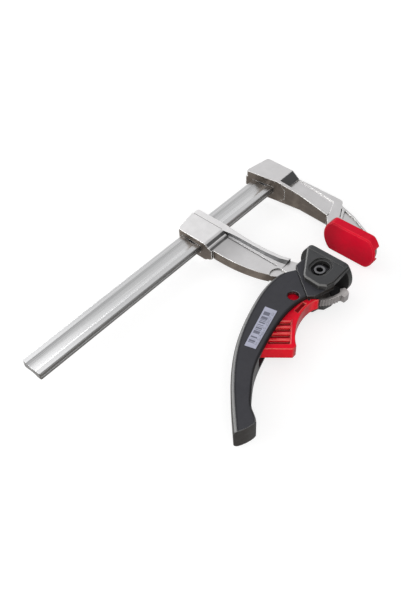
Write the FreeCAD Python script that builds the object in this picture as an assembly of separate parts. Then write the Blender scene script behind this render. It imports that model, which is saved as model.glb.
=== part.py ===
import FreeCAD, Part
import os
from math import acos, atan2, cos, degrees, hypot, radians, sin

# A quick release bar clamp lying flat, in mm. The origin is the centre of the fixed clamping face.
# X runs along the rail from the moving jaw to the fixed jaw, Y towards the rail and Z up.
# The clamp is the same above and below Z = 0, apart from the label and the fixed arm's pins.

V = FreeCAD.Vector

# Whole clamp
throat_depth = 81.0
jaw_opening = 26.8
rail_reach = 223.3
overrun = 2.0
match_tolerance = 0.002
half_turn_degrees = 180.0
travel_clearance = 0.3
running_clearance = 0.06
layer_gap = 0.25

# Rail
rail_width = 18.5
rail_thickness = 6.0
rail_seat_length = 33.0
rail_land = 4.7
rail_groove_depth = 0.5
rail_groove_slope = 1.3
rail_floor_sag = 0.35
rail_edge_round = 0.8
rail_edge_groove = 1.6
rail_edge_groove_depth = 0.5
rail_edge_groove_taper = 0.25
rail_corner_radius = 1.6

# Fixed pad and its cap
pad_half_length = 22.0
pad_half_height = 13.4
pad_flat_share = 0.72
pad_corner_radius = 4.0
fixed_pad_thickness = 4.6
cap_depth = 7.4
cap_face = 1.6
cap_wall = 1.4
cap_clearance = 0.08
cap_edge = 1.0
cap_notch_half_height = 6.2
cap_notch_rim = 2.0
cap_notch_reach = 4.5

# Fixed arm
fixed_box_half_height = 9.5
fixed_front_outer_x = 11.3
fixed_front_inner_x = 15.4
fixed_rear_x = 34.4
fixed_front_wall = 6.5
fixed_rear_wall = 2.4
fixed_inner_wall = 4.0
fixed_ramp_length = 6.8
fixed_web_half_height = 4.3
fixed_panel_depth = 1.0
fixed_flange_width = 2.6
fixed_bow_y = 55.2
fixed_bow = 0.4
fixed_flange_mid_half_height = 7.2
fixed_flange_tip_half_height = 4.9
fixed_tip_y = 28.0
fixed_tip_x = 12.6
fixed_rim_width = 5.6
fixed_rim_top_width = 0.8
fixed_panel_end = 5.2
fixed_corner_radius = 1.6
fixed_pad_foot_share = 0.7
fixed_pad_shoulder = 5.2
fixed_notch_top_share = 0.378
fixed_notch_shares = ((0.412, 0.346), (0.383, 0.336))
fixed_tail_shares = ((0.360, 0.310), (0.305, 0.143), (0.205, -0.061))
fixed_slit_shares = ((0.327, 0.300), (0.210, 0.243), (0.210, 0.233), (0.327, 0.290))
fixed_facet_shares = ((0.321, 0.259), (0.280, 0.128), (0.202, -0.030), (0.178, 0.000), (0.212, 0.212))
fixed_gusset_half_height = 8.4
fixed_gusset_shares = ((0.92, 0.0), (0.68, 1.0), (-0.40, 1.0), (-0.65, 0.0))
fixed_pin_radius = 1.5
fixed_pin_inset = 9.0
fixed_pin_spacing = 8.0
fixed_pin_depth = 5.0
fixed_pin_sink = 1.0

# Sliding arm
slide_rear_x = -45.4
slide_front_x = -71.9
slide_strip_width = 6.6
slide_strip_drop = 1.0
slide_box_half_height = 8.0
slide_outer_wall_front = 3.0
slide_outer_wall_rear = 6.8
slide_inner_wall = 3.9
slide_ramp_length = 7.4
slide_ramp_shares = ((0.0, 0.0), (0.05, 0.02), (0.26, 0.32), (0.49, 0.42), (0.76, 0.86), (1.0, 1.0))
slide_web_half_height = 4.1
slide_web_tip_half_height = 3.3
slide_strip_groove = 1.1
slide_strip_groove_depth = 0.6
# The flange: shares of its length from the box, then how far its outer edge and its crest lie in from
# the box's rear, in shares of the strip's width
slide_flange_shares = ((0.0, 0.0, 0.98), (0.12, 0.09, 0.76), (0.30, 0.18, 0.64), (0.48, 0.20, 0.62),
                       (0.69, 0.08, 0.52), (0.89, -0.14, 0.28), (1.0, -0.45, -0.08))
slide_cove_foot = 6.8
slide_cove_shares = (0.6, 0.2)
slide_crease_width = 0.8
slide_crease_depth = 0.35
slide_crease_shares = (0.13, 0.92)
slide_flange_tip_half_height = 6.0
slide_flange_end_y = 20.4
slide_corner_radius = 1.6
# Points of the web's front edge: shares of the box's reach, and of the way from the rivets to the ramp
slide_front_edge_shares = ((0.974, 1.0), (0.968, 0.702), (0.932, 0.387), (0.866, 0.117), (0.814, 0.0))
slide_front_edge_rise = 1.6
grip_pin_radius = 1.2
grip_pin_gap = 0.12
grip_pin_half_height = 6.0
rivet_recess_x = -58.5
rivet_recess_y = 19.0
rivet_recess_radius = 6.0
rivet_recess_depth = 0.7
rivet_recess_end = 4.0

# Hub, where the handle turns on the sliding arm's tip
hub_x = -42.0
hub_y = -4.0
hub_pin_radius = 3.0
hub_pin_bore = 2.2
hub_head_radius = 4.2
hub_head_thickness = 2.4
hub_head_edge = 0.6
hub_head_gap = 0.1
bush_wall = 1.2
tongue_radius = 6.0
tongue_half_height = 2.8
tongue_left_degrees = 170.0
tongue_right_degrees = 360.0

# Thrust slide, its studs and the plate's pin
yoke_thickness = 1.8
yoke_half_width = 5.3
yoke_rear_reach = 12.6
yoke_rear_corner = 1.9
bridge_length = 1.9
bridge_nose_wall = 0.4
stud_radius = 1.4
stud_reach = 9.6
stud_clearance = 0.1
plate_pin_setback = 2.8
plate_pin_radius = 1.1
plate_pin_seat = 2.9

# The spiral slot advances the plate by this much for each degree of the handle
advance_per_degree = 0.06
handle_close_degrees = 18.0
handle_open_degrees = 40.0
spiral_margin_degrees = 2.0
spiral_steps = 8
swivel_degrees = 4.0

# Pressure plate
plate_slab = 5.0
plate_half_length = 20.7
plate_centre_y = -1.8
plate_cheek_reach = 29.4
plate_cheek_thickness = 4.1
plate_cheek_gap = 0.5
plate_edge = 1.0
plate_recess_depth = 1.3
plate_recess_margin = 1.7
plate_cheek_shares = ((0.08, 0.48), (0.19, 0.476), (0.925, 0.034), (0.98, -0.04), (1.0, -0.442),
                      (0.895, -0.60), (0.69, -0.66), (0.08, -0.65))

# Handle
# The shares of its points count in handle_size, but along X behind the neck in handle_length
handle_length = 140.0
handle_size = 140.0
neck_share = 0.21
handle_half_height = 8.4
handle_convex_radius = 3.2
handle_concave_radius = 1.3
handle_web_start = 31.5
handle_convex_shares = ((-0.146, 0.149), (-0.274, 0.145), (-0.380, 0.119), (-0.600, 0.033),
                        (-0.785, -0.091), (-0.927, -0.221), (-0.971, -0.264))
handle_tail_share = (-0.925, -0.291)
handle_concave_shares = ((-0.868, -0.304), (-0.848, -0.281), (-0.826, -0.246), (-0.768, -0.196),
                         (-0.677, -0.135), (-0.541, -0.082), (-0.401, -0.046), (-0.300, -0.034),
                         (-0.214, -0.038), (-0.171, -0.048))
handle_channel_shares = ((-0.274, 0.116), (-0.380, 0.090), (-0.600, 0.006))
seam_top_share = (-0.061, 0.095)
seam_low_share = (-0.171, -0.048)
seam_gap = 0.3
head_radius = 16.0
head_front_radius = 7.2
head_top_degrees = 70.0
head_shoulder_degrees = 80.0
head_low_degrees = 254.0
head_shoulder_share = (-0.040, 0.115)
head_belly_shares = ((-0.144, -0.076), (-0.093, -0.091))
lever_plate_thickness = 1.8
lever_neck_radius = 4.6
lever_rim = 1.4
window_radius = 4.1
window_share = (-0.208, 0.003)

# Trigger, pawl and spring
trigger_pin_share = (-0.186, 0.057)
trigger_pin_radius = 1.5
trigger_boss_radius = 4.2
trigger_boss_left_degrees = 200.0
trigger_boss_top_degrees = 80.0
trigger_side_gap = 0.4
trigger_end_radius = 1.6
trigger_upper_shares = ((-0.272, 0.040), (-0.380, 0.026), (-0.470, -0.003), (-0.552, -0.057))
trigger_end_share = (-0.449, -0.181)
trigger_outer_shares = ((-0.425, -0.180), (-0.404, -0.158), (-0.375, -0.136), (-0.313, -0.100),
                        (-0.253, -0.081), (-0.191, -0.076), (-0.151, -0.083))
trigger_nose_degrees = 216.5
trigger_slots = 4
trigger_slot_depth = 2.2
trigger_slot_length = 14.0
trigger_border_shares = ((-0.436, -0.150), (-0.322, -0.070))
# Shares of the border's length
trigger_lip_share = 0.195
trigger_slot_pitch_share = 0.267
trigger_slot_width_share = 0.164
trigger_pocket_depth = 1.5
trigger_pocket_shares = ((-0.262, -0.045), (-0.262, -0.067), (-0.228, -0.0625), (-0.192, -0.0635),
                         (-0.192, -0.045))
tooth_clearance = 0.3
pawl_width = 4.4
pawl_height = 3.4
pawl_half_thickness = 3.4
pawl_degrees = 197.0
pawl_rivet_radius = 0.7
pawl_rivet_spacing = 2.2
pawl_relief = 1.0
pawl_flat = 0.9
spring_x_share = -0.400
spring_low_share = 0.0275
spring_high_share = 0.0755
spring_radius = 2.8
spring_wire = 0.7

# Ratchet sector
sector_inner_radius = 19.4
sector_outer_radius = 22.0
sector_half_height = 3.0
sector_tooth_depth = 0.95
sector_tooth_degrees = 5.45
sector_tooth_lean_share = 0.2
sector_teeth = 22
sector_root_degrees = 139.0
sector_link_degrees = 143.0
sector_hook_radius = 24.6
sector_hook_degrees = (259.0, 261.0, 272.0)
# The rest of the hook: shares of the outer radius, with degrees round the hub
sector_hook_corners = ((1.045, 276.0), (0.90, 279.5), (0.79, 271.5))
sector_inner_degrees = 264.0
sector_foot_half_height = 1.5
sector_foot_radius = 3.5
sector_foot_gap = 0.05
sector_rivet_radius = 1.5
sector_rivet_half_height = 3.0
sector_rivet_x = -54.6
sector_rivet_y = 15.4
sector_rivet_step_x = 4.1
sector_rivet_step_y = -6.4

# Label on the handle
label_thickness = 0.25
label_shares = ((-0.350, 0.063), (-0.336, 0.002), (-0.576, -0.062), (-0.592, -0.010))


def cylinder(radius, low, high, x, y):
    """A round bar along Z."""
    return Part.makeCylinder(radius, high - low, V(x, y, low))


def cylinders(radius, low, high, places):
    """The same round bar at several places, as a list."""
    return [cylinder(radius, low, high, *place) for place in places]


def box(x_low, x_high, y_low, y_high, z_low, z_high):
    return Part.makeBox(x_high - x_low, y_high - y_low, z_high - z_low, V(x_low, y_low, z_low))


def slab(runs, low, high):
    """A solid between two heights, with a closed outline of lines, arcs and splines."""
    edges = []
    for kind, points in runs:
        corners = [V(x, y, low) for x, y in points]
        if kind == "arc":
            edges.append(Part.Arc(*corners).toShape())
        elif kind == "spline":
            curve = Part.BSplineCurve()
            curve.interpolate(corners)
            edges.append(curve.toShape())
        else:
            edges += [Part.makeLine(start, end) for start, end in zip(corners, corners[1:])]
    return Part.Face(Part.Wire(edges)).extrude(V(0, 0, high - low))


def polygon(points, low, high):
    return slab([("line", list(points) + [points[0]])], low, high)


def side_prism(points, x_low, x_high):
    """A solid along X whose outline is given in Y and Z."""
    corners = [V(x_low, y, z) for y, z in points]
    return Part.Face(Part.makePolygon(corners + [corners[0]])).extrude(V(x_high - x_low, 0, 0))


def closed_below(points):
    """Points above Z = 0, followed by their mirror images, as one outline."""
    return list(points) + [(place, -height) for place, height in reversed(points)]


def both_sides(shape):
    """The shape and its mirror image below Z = 0, as a list."""
    return [shape, shape.mirror(V(0, 0, 0), V(0, 0, 1))]


def solid(shape):
    """The result of a cut or join without its needless seams, as a plain solid if there is one."""
    refined = shape.removeSplitter()
    return refined.Solids[0] if len(refined.Solids) == 1 else refined


def soften(shape, radius, wanted):
    """Rounds the edges that the test picks."""
    return shape.makeFillet(radius, [edge for edge in shape.Edges if wanted(edge)])


def bevel(shape, size, wanted):
    """Chamfers the edges that the test picks."""
    return shape.makeChamfer(size, [edge for edge in shape.Edges if wanted(edge)])


def lies_at(low, high, place):
    """Whether an edge's extent along one axis is a single place."""
    return abs(low - place) < match_tolerance and abs(high - place) < match_tolerance


def on_level(edge, level):
    return lies_at(edge.BoundBox.ZMin, edge.BoundBox.ZMax, level)


def at_x(edge, place):
    return lies_at(edge.BoundBox.XMin, edge.BoundBox.XMax, place)


def from_hub(share):
    """A point of the handle or trigger. Behind the neck its distance goes with the handle's length."""
    head = max(share[0], -neck_share)
    grip = share[0] - head
    return (hub_x + head * handle_size + grip * handle_length, hub_y + share[1] * handle_size)


def from_face(share):
    """A point of the fixed arm, from its shares of the throat's depth."""
    return (share[0] * throat_depth, share[1] * throat_depth)


def polar(radius, angle, x=hub_x, y=hub_y):
    """A point round the hub, or round another centre."""
    return (x + radius * cos(radians(angle)), y + radius * sin(radians(angle)))


def arc_round(radius, start, end, x=hub_x, y=hub_y):
    """An arc as a run, from one angle to the other."""
    return ("arc", [polar(radius, angle, x, y) for angle in (start, (start + end) / 2, end)])


# Heights of the layers at the hub, from the middle outwards, and places that several pieces share
yoke_low = tongue_half_height + layer_gap
yoke_high = yoke_low + yoke_thickness
lever_low = yoke_high + layer_gap
lever_high = lever_low + lever_plate_thickness
trigger_half_height = lever_low - trigger_side_gap
cheek_low = handle_half_height + plate_cheek_gap
cheek_high = cheek_low + plate_cheek_thickness
bush_radius = hub_pin_radius + running_clearance + bush_wall
plate_face_x = -jaw_opening
plate_back_x = plate_face_x - plate_slab
plate_pin_x = plate_face_x - plate_pin_setback
plate_pin_half_length = yoke_high + plate_pin_seat
bridge_nose_radius = plate_pin_radius + bridge_nose_wall
advance = advance_per_degree * handle_close_degrees
retreat = advance_per_degree * handle_open_degrees
rail_low_y = throat_depth
rail_high_y = throat_depth + rail_width
trigger_pin = from_hub(trigger_pin_share)
tooth_path = sector_outer_radius + tooth_clearance
fixed_pad_back = cap_face + fixed_pad_thickness
slide_strip_half_height = slide_box_half_height - slide_strip_drop


def pad_block(half_length, half_height, corner_radius, centre_y, x_low, x_high):
    """A pad: flat above and below, bowed at both ends, with rounded corners."""
    flat = pad_flat_share * half_length
    top_right, top_left = V(x_low, centre_y + flat, half_height), V(x_low, centre_y - flat, half_height)
    low_right, low_left = V(x_low, centre_y + flat, -half_height), V(x_low, centre_y - flat, -half_height)
    edges = [Part.makeLine(top_right, top_left),
             Part.Arc(top_left, V(x_low, centre_y - half_length, 0), low_left).toShape(),
             Part.makeLine(low_left, low_right),
             Part.Arc(low_right, V(x_low, centre_y + half_length, 0), top_right).toShape()]
    block = Part.Face(Part.Wire(edges)).extrude(V(x_high - x_low, 0, 0))
    return soften(block, corner_radius,
                  lambda edge: edge.BoundBox.YLength + edge.BoundBox.ZLength < match_tolerance)


def fixed_pad_block(inset, x_low, x_high):
    return pad_block(pad_half_length - inset, pad_half_height - inset, pad_corner_radius - inset, 0,
                     x_low, x_high)


def fixed_pin_places():
    middle = rail_low_y + rail_width / 2
    x = fixed_rear_x - fixed_pin_inset
    return [(x, middle - fixed_pin_spacing / 2), (x, middle + fixed_pin_spacing / 2)]


def hollow_floor(bar, radius, middle_z):
    """Hollows a channel's floor with a large round cutter that runs along the rail."""
    across = rail_low_y + rail_width / 2
    return bar.cut(Part.makeCylinder(radius, rail_reach + rail_seat_length + 2 * overrun,
                                     V(-rail_reach - overrun, across, middle_z), V(1, 0, 0)))


def make_rail():
    """The bar: a sunk channel with a hollow floor on each wide face, a fine groove along each edge."""
    half = rail_thickness / 2
    floor = half - rail_groove_depth
    foot = rail_land + rail_groove_slope
    groove = rail_edge_groove / 2
    near = [(rail_edge_groove_depth, groove - rail_edge_groove_taper), (0, groove),
            (0, half), (rail_land, half), (foot, floor)]
    upper = near + [(rail_width - y, z) for y, z in reversed(near)]
    bar = side_prism([(rail_low_y + y, z) for y, z in closed_below(upper)], -rail_reach, rail_seat_length)
    bar = soften(bar, rail_edge_round,
                 lambda edge: abs(edge.BoundBox.ZMin) > floor and edge.BoundBox.XLength > rail_reach
                 and (lies_at(edge.BoundBox.YMin, edge.BoundBox.YMax, rail_low_y)
                      or lies_at(edge.BoundBox.YMin, edge.BoundBox.YMax, rail_high_y)))
    floor_half = rail_width / 2 - foot
    radius = (floor_half ** 2 + rail_floor_sag ** 2) / (2 * rail_floor_sag)
    centre = floor - rail_floor_sag + radius
    for middle_z in (centre, -centre):
        bar = hollow_floor(bar, radius, middle_z)
    blank = box(-rail_reach, rail_seat_length, rail_low_y, rail_high_y, -half, half)
    blank = soften(blank, rail_corner_radius,
                   lambda edge: edge.BoundBox.ZLength > half and at_x(edge, -rail_reach))
    return bar.common(blank).cut(cylinders(fixed_pin_radius, -half, half, fixed_pin_places()))


def rail_passage(x_low, x_high, gap):
    """The rail's way through a box."""
    half = rail_thickness / 2 + gap
    return box(x_low, x_high, rail_low_y - gap, rail_high_y + gap, -half, half)


def make_fixed_arm():
    """The cast arm: a box round the rail's end, a flanged web and the pad at its tip."""
    box_low_y = rail_low_y - fixed_inner_wall
    ramp_y = box_low_y - fixed_ramp_length
    outer_front = (fixed_front_outer_x, rail_high_y + fixed_front_wall)
    outer_rear = (fixed_rear_x, rail_high_y + fixed_rear_wall)
    inner_edge = [(fixed_front_inner_x, box_low_y), (fixed_front_inner_x + fixed_bow, fixed_bow_y),
                  (fixed_tip_x, fixed_tip_y)]
    high, web = fixed_box_half_height, fixed_web_half_height

    notch_top = (fixed_rear_x, fixed_notch_top_share * throat_depth)
    tail = [notch_top] + [from_face(share) for share in fixed_notch_shares + fixed_tail_shares]
    pad_foot_y = -pad_half_length * fixed_pad_foot_share
    outline = [outer_front] + inner_edge + [(fixed_pad_back, fixed_tip_y - fixed_pad_shoulder)]
    outline += [(fixed_pad_back, pad_foot_y)] + tail[::-1] + [outer_rear]
    body = polygon(outline, -web, web)

    block = polygon([outer_front, inner_edge[0], (fixed_front_inner_x, ramp_y), (fixed_rear_x, ramp_y),
                     outer_rear], -high, high)
    block = block.common(side_prism(closed_below([(ramp_y, web), (box_low_y, high), (outer_front[1], high)]),
                                    0, fixed_rear_x))
    block = soften(block, fixed_corner_radius,
                   lambda edge: edge.BoundBox.ZLength > high and edge.BoundBox.YMin > rail_high_y)

    strip = inner_edge + [(x + fixed_flange_width, y) for x, y in reversed(inner_edge)]
    crest = closed_below([(fixed_tip_y, fixed_flange_tip_half_height),
                          (fixed_bow_y, fixed_flange_mid_half_height), (box_low_y, high)])
    flange = polygon(strip, -high, high).common(side_prism(crest, 0, fixed_rear_x))

    panel_left = [(x + fixed_flange_width, y) for x, y in reversed(inner_edge[1:])]
    panel = [(fixed_front_inner_x + fixed_flange_width, ramp_y), (fixed_rear_x - fixed_rim_top_width, ramp_y),
             (fixed_rear_x - fixed_rim_width, fixed_tip_y + fixed_panel_end)] + panel_left
    sunk = [polygon(points, web - fixed_panel_depth, web)
            for points in (panel, [from_face(share) for share in fixed_slit_shares],
                           [from_face(share) for share in fixed_facet_shares])]
    for pocket in sunk:
        body = body.cut(both_sides(pocket))

    pad = fixed_pad_block(cap_wall + cap_clearance, cap_face + cap_clearance, fixed_pad_back)
    rise = fixed_gusset_half_height - web
    gusset = closed_below([(y * pad_half_length, web + z * rise) for y, z in fixed_gusset_shares])
    gusset = side_prism(gusset, fixed_pad_back, fixed_tip_x)
    slope = closed_below([(fixed_pad_back, fixed_gusset_half_height), (fixed_tip_x, web)])
    corners = [V(x, -pad_half_length, z) for x, z in slope]
    wedge = Part.Face(Part.makePolygon(corners + [corners[0]])).extrude(V(0, 2 * pad_half_length, 0))

    arm = body.fuse([block, flange, pad, gusset.common(wedge)])
    arm = arm.cut(rail_passage(0, rail_seat_length, 0))
    return solid(arm.cut(cylinders(fixed_pin_radius, -high, fixed_pin_depth, fixed_pin_places())))


def make_fixed_arm_pins():
    """Two pins pressed in from below through the rail."""
    low = -fixed_box_half_height + fixed_pin_sink
    return Part.makeCompound(cylinders(fixed_pin_radius, low, fixed_pin_depth, fixed_pin_places()))


def make_protective_cap():
    """The soft cap over the fixed pad, cut away at both ends of its rim."""
    shell = bevel(fixed_pad_block(0, 0, cap_depth), cap_edge, lambda edge: at_x(edge, 0))
    shell = shell.cut(fixed_pad_block(cap_wall, cap_face, cap_depth + overrun))
    for centre in (-pad_half_length, pad_half_length):
        shell = shell.cut(box(cap_notch_rim, cap_depth + overrun, centre - cap_notch_reach,
                              centre + cap_notch_reach, -cap_notch_half_height, cap_notch_half_height))
    return solid(shell)


def grip_pin_places():
    """The pins that bite on the rail's edges: the outer one behind, the inner one ahead."""
    reach = grip_pin_radius + grip_pin_gap
    return [(slide_rear_x - slide_strip_width / 2, rail_high_y + reach),
            (slide_front_x + slide_strip_width, rail_low_y - reach)]


def make_grip_pin(place):
    return cylinder(grip_pin_radius, -grip_pin_half_height, grip_pin_half_height, *place)


def sector_rivet_places():
    """The rivets lie along the sector's foot."""
    return [(sector_rivet_x, sector_rivet_y),
            (sector_rivet_x + sector_rivet_step_x, sector_rivet_y + sector_rivet_step_y)]


def make_sector_foot(gap):
    """The tab between the ring and the rivets, or with a gap the room that it needs in the arm."""
    half = sector_foot_half_height + gap
    radius = sector_foot_radius + gap
    first, second = sector_rivet_places()
    step_x, step_y = second[0] - first[0], second[1] - first[1]
    span = hypot(step_x, step_y)
    side_x, side_y = -step_y / span * radius, step_x / span * radius
    bar = polygon([(first[0] + side_x, first[1] + side_y), (second[0] + side_x, second[1] + side_y),
                   (second[0] - side_x, second[1] - side_y), (first[0] - side_x, first[1] - side_y)],
                  -half, half)
    link = polygon([first, polar(sector_outer_radius - sector_tooth_depth, sector_link_degrees),
                    polar(sector_inner_radius, sector_link_degrees), second], -half, half)
    return cylinder(radius, -half, half, *first).fuse([cylinder(radius, -half, half, *second), bar, link])


def web_level(y):
    """How high the sliding arm's web reaches, as it thins towards the tip."""
    thin_y = hub_y - head_radius
    along = (rail_low_y - y) / (rail_low_y - thin_y)
    return slide_web_half_height + along * (slide_web_tip_half_height - slide_web_half_height)


def flange_places(box_low_y):
    """Each section of the flange: its Y, its outer edge's X and its crest's X."""
    length = box_low_y - slide_flange_end_y
    return [(box_low_y - along * length, slide_rear_x - outer * slide_strip_width,
             slide_rear_x - crest * slide_strip_width) for along, outer, crest in slide_flange_shares]


def flange_crease(foot_x, box_low_y):
    """A shallow one-sided crease along the foot of the flange's cove."""
    sections = []
    for along in slide_crease_shares:
        y = box_low_y - along * (box_low_y - slide_flange_end_y)
        low, high = web_level(y) - slide_crease_depth, web_level(y) + slide_crease_depth
        corners = [V(foot_x - 2 * slide_crease_width, y, high), V(foot_x, y, low), V(foot_x, y, high)]
        sections.append(Part.makePolygon(corners + [corners[0]]))
    return Part.makeLoft(sections, True, True)


def make_sliding_arm():
    """The cast arm: a box that slides on the rail, a flanged web and the tongue that carries the hub."""
    box_low_y = rail_low_y - slide_inner_wall
    ramp_y = box_low_y - slide_ramp_length
    strip_x = slide_rear_x - slide_strip_width
    outer_front = (slide_front_x, rail_high_y + slide_outer_wall_front)
    outer_strip = (strip_x, rail_high_y + slide_outer_wall_rear)
    outer_rear = (slide_rear_x, rail_high_y + slide_outer_wall_rear)
    front_low_y = sector_rivet_y + slide_front_edge_rise
    front = [(slide_front_x * reach, front_low_y + up * (ramp_y - front_low_y))
             for reach, up in slide_front_edge_shares]
    high, web = slide_box_half_height, slide_web_half_height
    places = flange_places(box_low_y)
    rear = [(outer, y) for y, outer, crest in places]

    left, right = tongue_left_degrees, tongue_right_degrees
    plan = [("line", [(slide_rear_x, box_low_y), (slide_front_x, box_low_y), (slide_front_x, ramp_y),
                      front[0]]),
            ("spline", front),
            ("line", [front[-1], polar(tongue_radius, left)]),
            arc_round(tongue_radius, left, right),
            ("line", [polar(tongue_radius, right), (hub_x + tongue_radius, hub_y + tongue_radius)]
             + rear[::-1])]
    thin = closed_below([(rail_low_y, web), (hub_y - head_radius, slide_web_tip_half_height)])
    body = slab(plan, -web, web).common(side_prism(thin, slide_front_x, 0))

    low = web_level(ramp_y)
    ramp = [(ramp_y + along * slide_ramp_length, low + up * (high - low)) for along, up in slide_ramp_shares]
    block = polygon([outer_front, (slide_front_x, ramp_y), (strip_x, ramp_y), outer_strip], -high, high)
    block = block.common(side_prism(closed_below(ramp + [(outer_strip[1], high)]), slide_front_x, 0))
    block = soften(block, slide_corner_radius,
                   lambda edge: edge.BoundBox.ZLength > high and edge.BoundBox.YMin > rail_high_y
                   and at_x(edge, slide_front_x))
    strip_high = slide_strip_half_height
    strip = polygon([outer_strip, (strip_x, box_low_y), (slide_rear_x, box_low_y), outer_rear],
                    -strip_high, strip_high)
    strip = soften(strip, slide_corner_radius,
                   lambda edge: edge.BoundBox.YMin > rail_high_y and edge.BoundBox.YLength < match_tolerance
                   and at_x(edge, slide_rear_x))

    foot_x = slide_rear_x - slide_cove_foot
    across, up = slide_cove_shares
    sections = []
    for y, outer, crest in places:
        along = (box_low_y - y) / (box_low_y - slide_flange_end_y)
        height = strip_high + along * (slide_flange_tip_half_height - strip_high)
        low = web_level(y)
        ring = closed_below([(foot_x, low), (foot_x + across * (crest - foot_x), low + up * (height - low)),
                             (crest, height), (outer, height)])
        corners = [V(x, y, z) for x, z in ring]
        sections.append(Part.makePolygon(corners + [corners[0]]))
    flange = Part.makeLoft(sections, True, True)

    arm = body.fuse([block, strip, flange])
    arm = arm.cut(rail_passage(slide_front_x - overrun, slide_rear_x + overrun, travel_clearance))
    arm = arm.cut([make_grip_pin(place) for place in grip_pin_places()])
    recess = cylinder(rivet_recess_radius, slide_web_tip_half_height - rivet_recess_depth, high,
                      rivet_recess_x, rivet_recess_y)
    recess = recess.common(box(slide_front_x, foot_x - slide_crease_width,
                               rivet_recess_y - rivet_recess_end, rivet_recess_y + rivet_recess_radius,
                               0, high))
    arm = arm.cut(both_sides(recess))
    groove = box(strip_x, strip_x + slide_strip_groove, box_low_y, outer_strip[1],
                 strip_high - slide_strip_groove_depth, high)
    arm = arm.cut(both_sides(groove) + both_sides(flange_crease(foot_x, box_low_y)))

    arm = arm.cut(make_sector_foot(sector_foot_gap))
    arm = arm.cut(cylinders(sector_rivet_radius, -high, high, sector_rivet_places()))
    arm = arm.cut(cylinder(hub_pin_radius, -high, high, hub_x, hub_y))
    yoke_side = hub_y + yoke_half_width + travel_clearance
    yoke_room = box(hub_x - head_radius, hub_x + head_radius, hub_y - head_radius, yoke_side,
                    tongue_half_height, high)
    return solid(arm.cut(both_sides(yoke_room)))


def make_ratchet_sector():
    """A toothed ring segment round the hub, with a hook at its free end and a tab at the other."""
    root = sector_outer_radius - sector_tooth_depth
    edge = [polar(sector_outer_radius, sector_root_degrees)]
    for index in range(sector_teeth):
        angle = sector_root_degrees + index * sector_tooth_degrees
        edge.append(polar(root, angle + sector_tooth_degrees * sector_tooth_lean_share))
        edge.append(polar(sector_outer_radius, angle + sector_tooth_degrees))
    start, rise, end = sector_hook_degrees
    corners = [polar(share * sector_outer_radius, angle) for share, angle in sector_hook_corners]
    runs = [("line", edge + [polar(root, start), polar(sector_hook_radius, rise)]),
            arc_round(sector_hook_radius, rise, end),
            ("line", [polar(sector_hook_radius, end)] + corners
             + [polar(sector_inner_radius, sector_inner_degrees)]),
            arc_round(sector_inner_radius, sector_inner_degrees, sector_root_degrees),
            ("line", [polar(sector_inner_radius, sector_root_degrees), edge[0]])]
    sector = slab(runs, -sector_half_height, sector_half_height).fuse(make_sector_foot(0))
    half = sector_half_height
    return solid(sector.cut(cylinders(sector_rivet_radius, -half, half, sector_rivet_places())))


def make_sector_rivets():
    half = sector_rivet_half_height
    return Part.makeCompound(cylinders(sector_rivet_radius, -half, half, sector_rivet_places()))


def make_pivot_rivet():
    """A tubular rivet with a flared head at each end."""
    neck = handle_half_height + hub_head_gap
    reach = neck + hub_head_thickness
    heads = both_sides(cylinder(hub_head_radius, neck, reach, hub_x, hub_y))
    rivet = cylinder(hub_pin_radius, -reach, reach, hub_x, hub_y).fuse(heads)
    rivet = solid(rivet.cut(cylinder(hub_pin_bore, -reach, reach, hub_x, hub_y)))
    return soften(rivet, hub_head_edge, lambda edge: on_level(edge, reach) or on_level(edge, -reach))


def make_head_bushes():
    """One bearing ring on each side, between the rivet and the head."""
    ring = cylinder(bush_radius, lever_low, handle_half_height, hub_x, hub_y)
    inner = cylinder(hub_pin_radius + running_clearance, lever_low, handle_half_height, hub_x, hub_y)
    return Part.makeCompound(both_sides(ring.cut(inner)))


def head_front_runs(inset):
    """The front of the head: it stays clear of the pressure plate while it turns."""
    radius = head_radius - inset
    front = head_front_radius - inset
    spread = degrees(acos(front / radius))
    top_touch = head_top_degrees - spread
    low_touch = head_low_degrees + spread - 2 * half_turn_degrees
    return [("line", [polar(radius, head_top_degrees), polar(front, top_touch)]),
            arc_round(front, top_touch, low_touch),
            ("line", [polar(front, low_touch), polar(radius, head_low_degrees)])]


def lever_outline_runs():
    """The steel plate inside the handle: a disc at the hub and a round end at the trigger's pin."""
    reach = hypot(trigger_pin[0] - hub_x, trigger_pin[1] - hub_y)
    heading = degrees(atan2(trigger_pin[1] - hub_y, trigger_pin[0] - hub_x))
    disc = head_radius - lever_rim
    neck = lever_neck_radius
    spread = degrees(acos((disc - neck) / reach))
    upper, lower = heading - spread, heading + spread
    return [arc_round(disc, upper, head_top_degrees)] + head_front_runs(lever_rim) + [
        arc_round(disc, head_low_degrees, lower),
        ("line", [polar(disc, lower), polar(neck, lower, *trigger_pin)]),
        arc_round(neck, lower, upper, *trigger_pin),
        ("line", [polar(neck, upper, *trigger_pin), polar(disc, upper)])]


def window_cutter():
    return cylinder(window_radius, -handle_half_height, handle_half_height, *from_hub(window_share))


def spiral_slot():
    """The slot that turns the handle's angle into travel of the slide."""
    width = stud_radius + stud_clearance
    low = -handle_close_degrees - spiral_margin_degrees
    span = handle_open_degrees + spiral_margin_degrees - low
    climb = degrees(advance_per_degree)
    middle, inner, outer = [], [], []
    for step in range(spiral_steps + 1):
        turn = low + span * step / spiral_steps
        radius = stud_reach + advance_per_degree * turn
        offset = width * hypot(climb, radius) / radius
        middle.append(polar(radius, half_turn_degrees - turn))
        inner.append(polar(radius - offset, half_turn_degrees - turn))
        outer.append(polar(radius + offset, half_turn_degrees - turn))
    slot = slab([("spline", inner), ("line", [inner[-1], outer[-1]]), ("spline", outer[::-1]),
                 ("line", [outer[0], inner[0]])], lever_low, lever_high)
    return slot.fuse([cylinder(width, lever_low, lever_high, *place) for place in (middle[0], middle[-1])])


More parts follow.
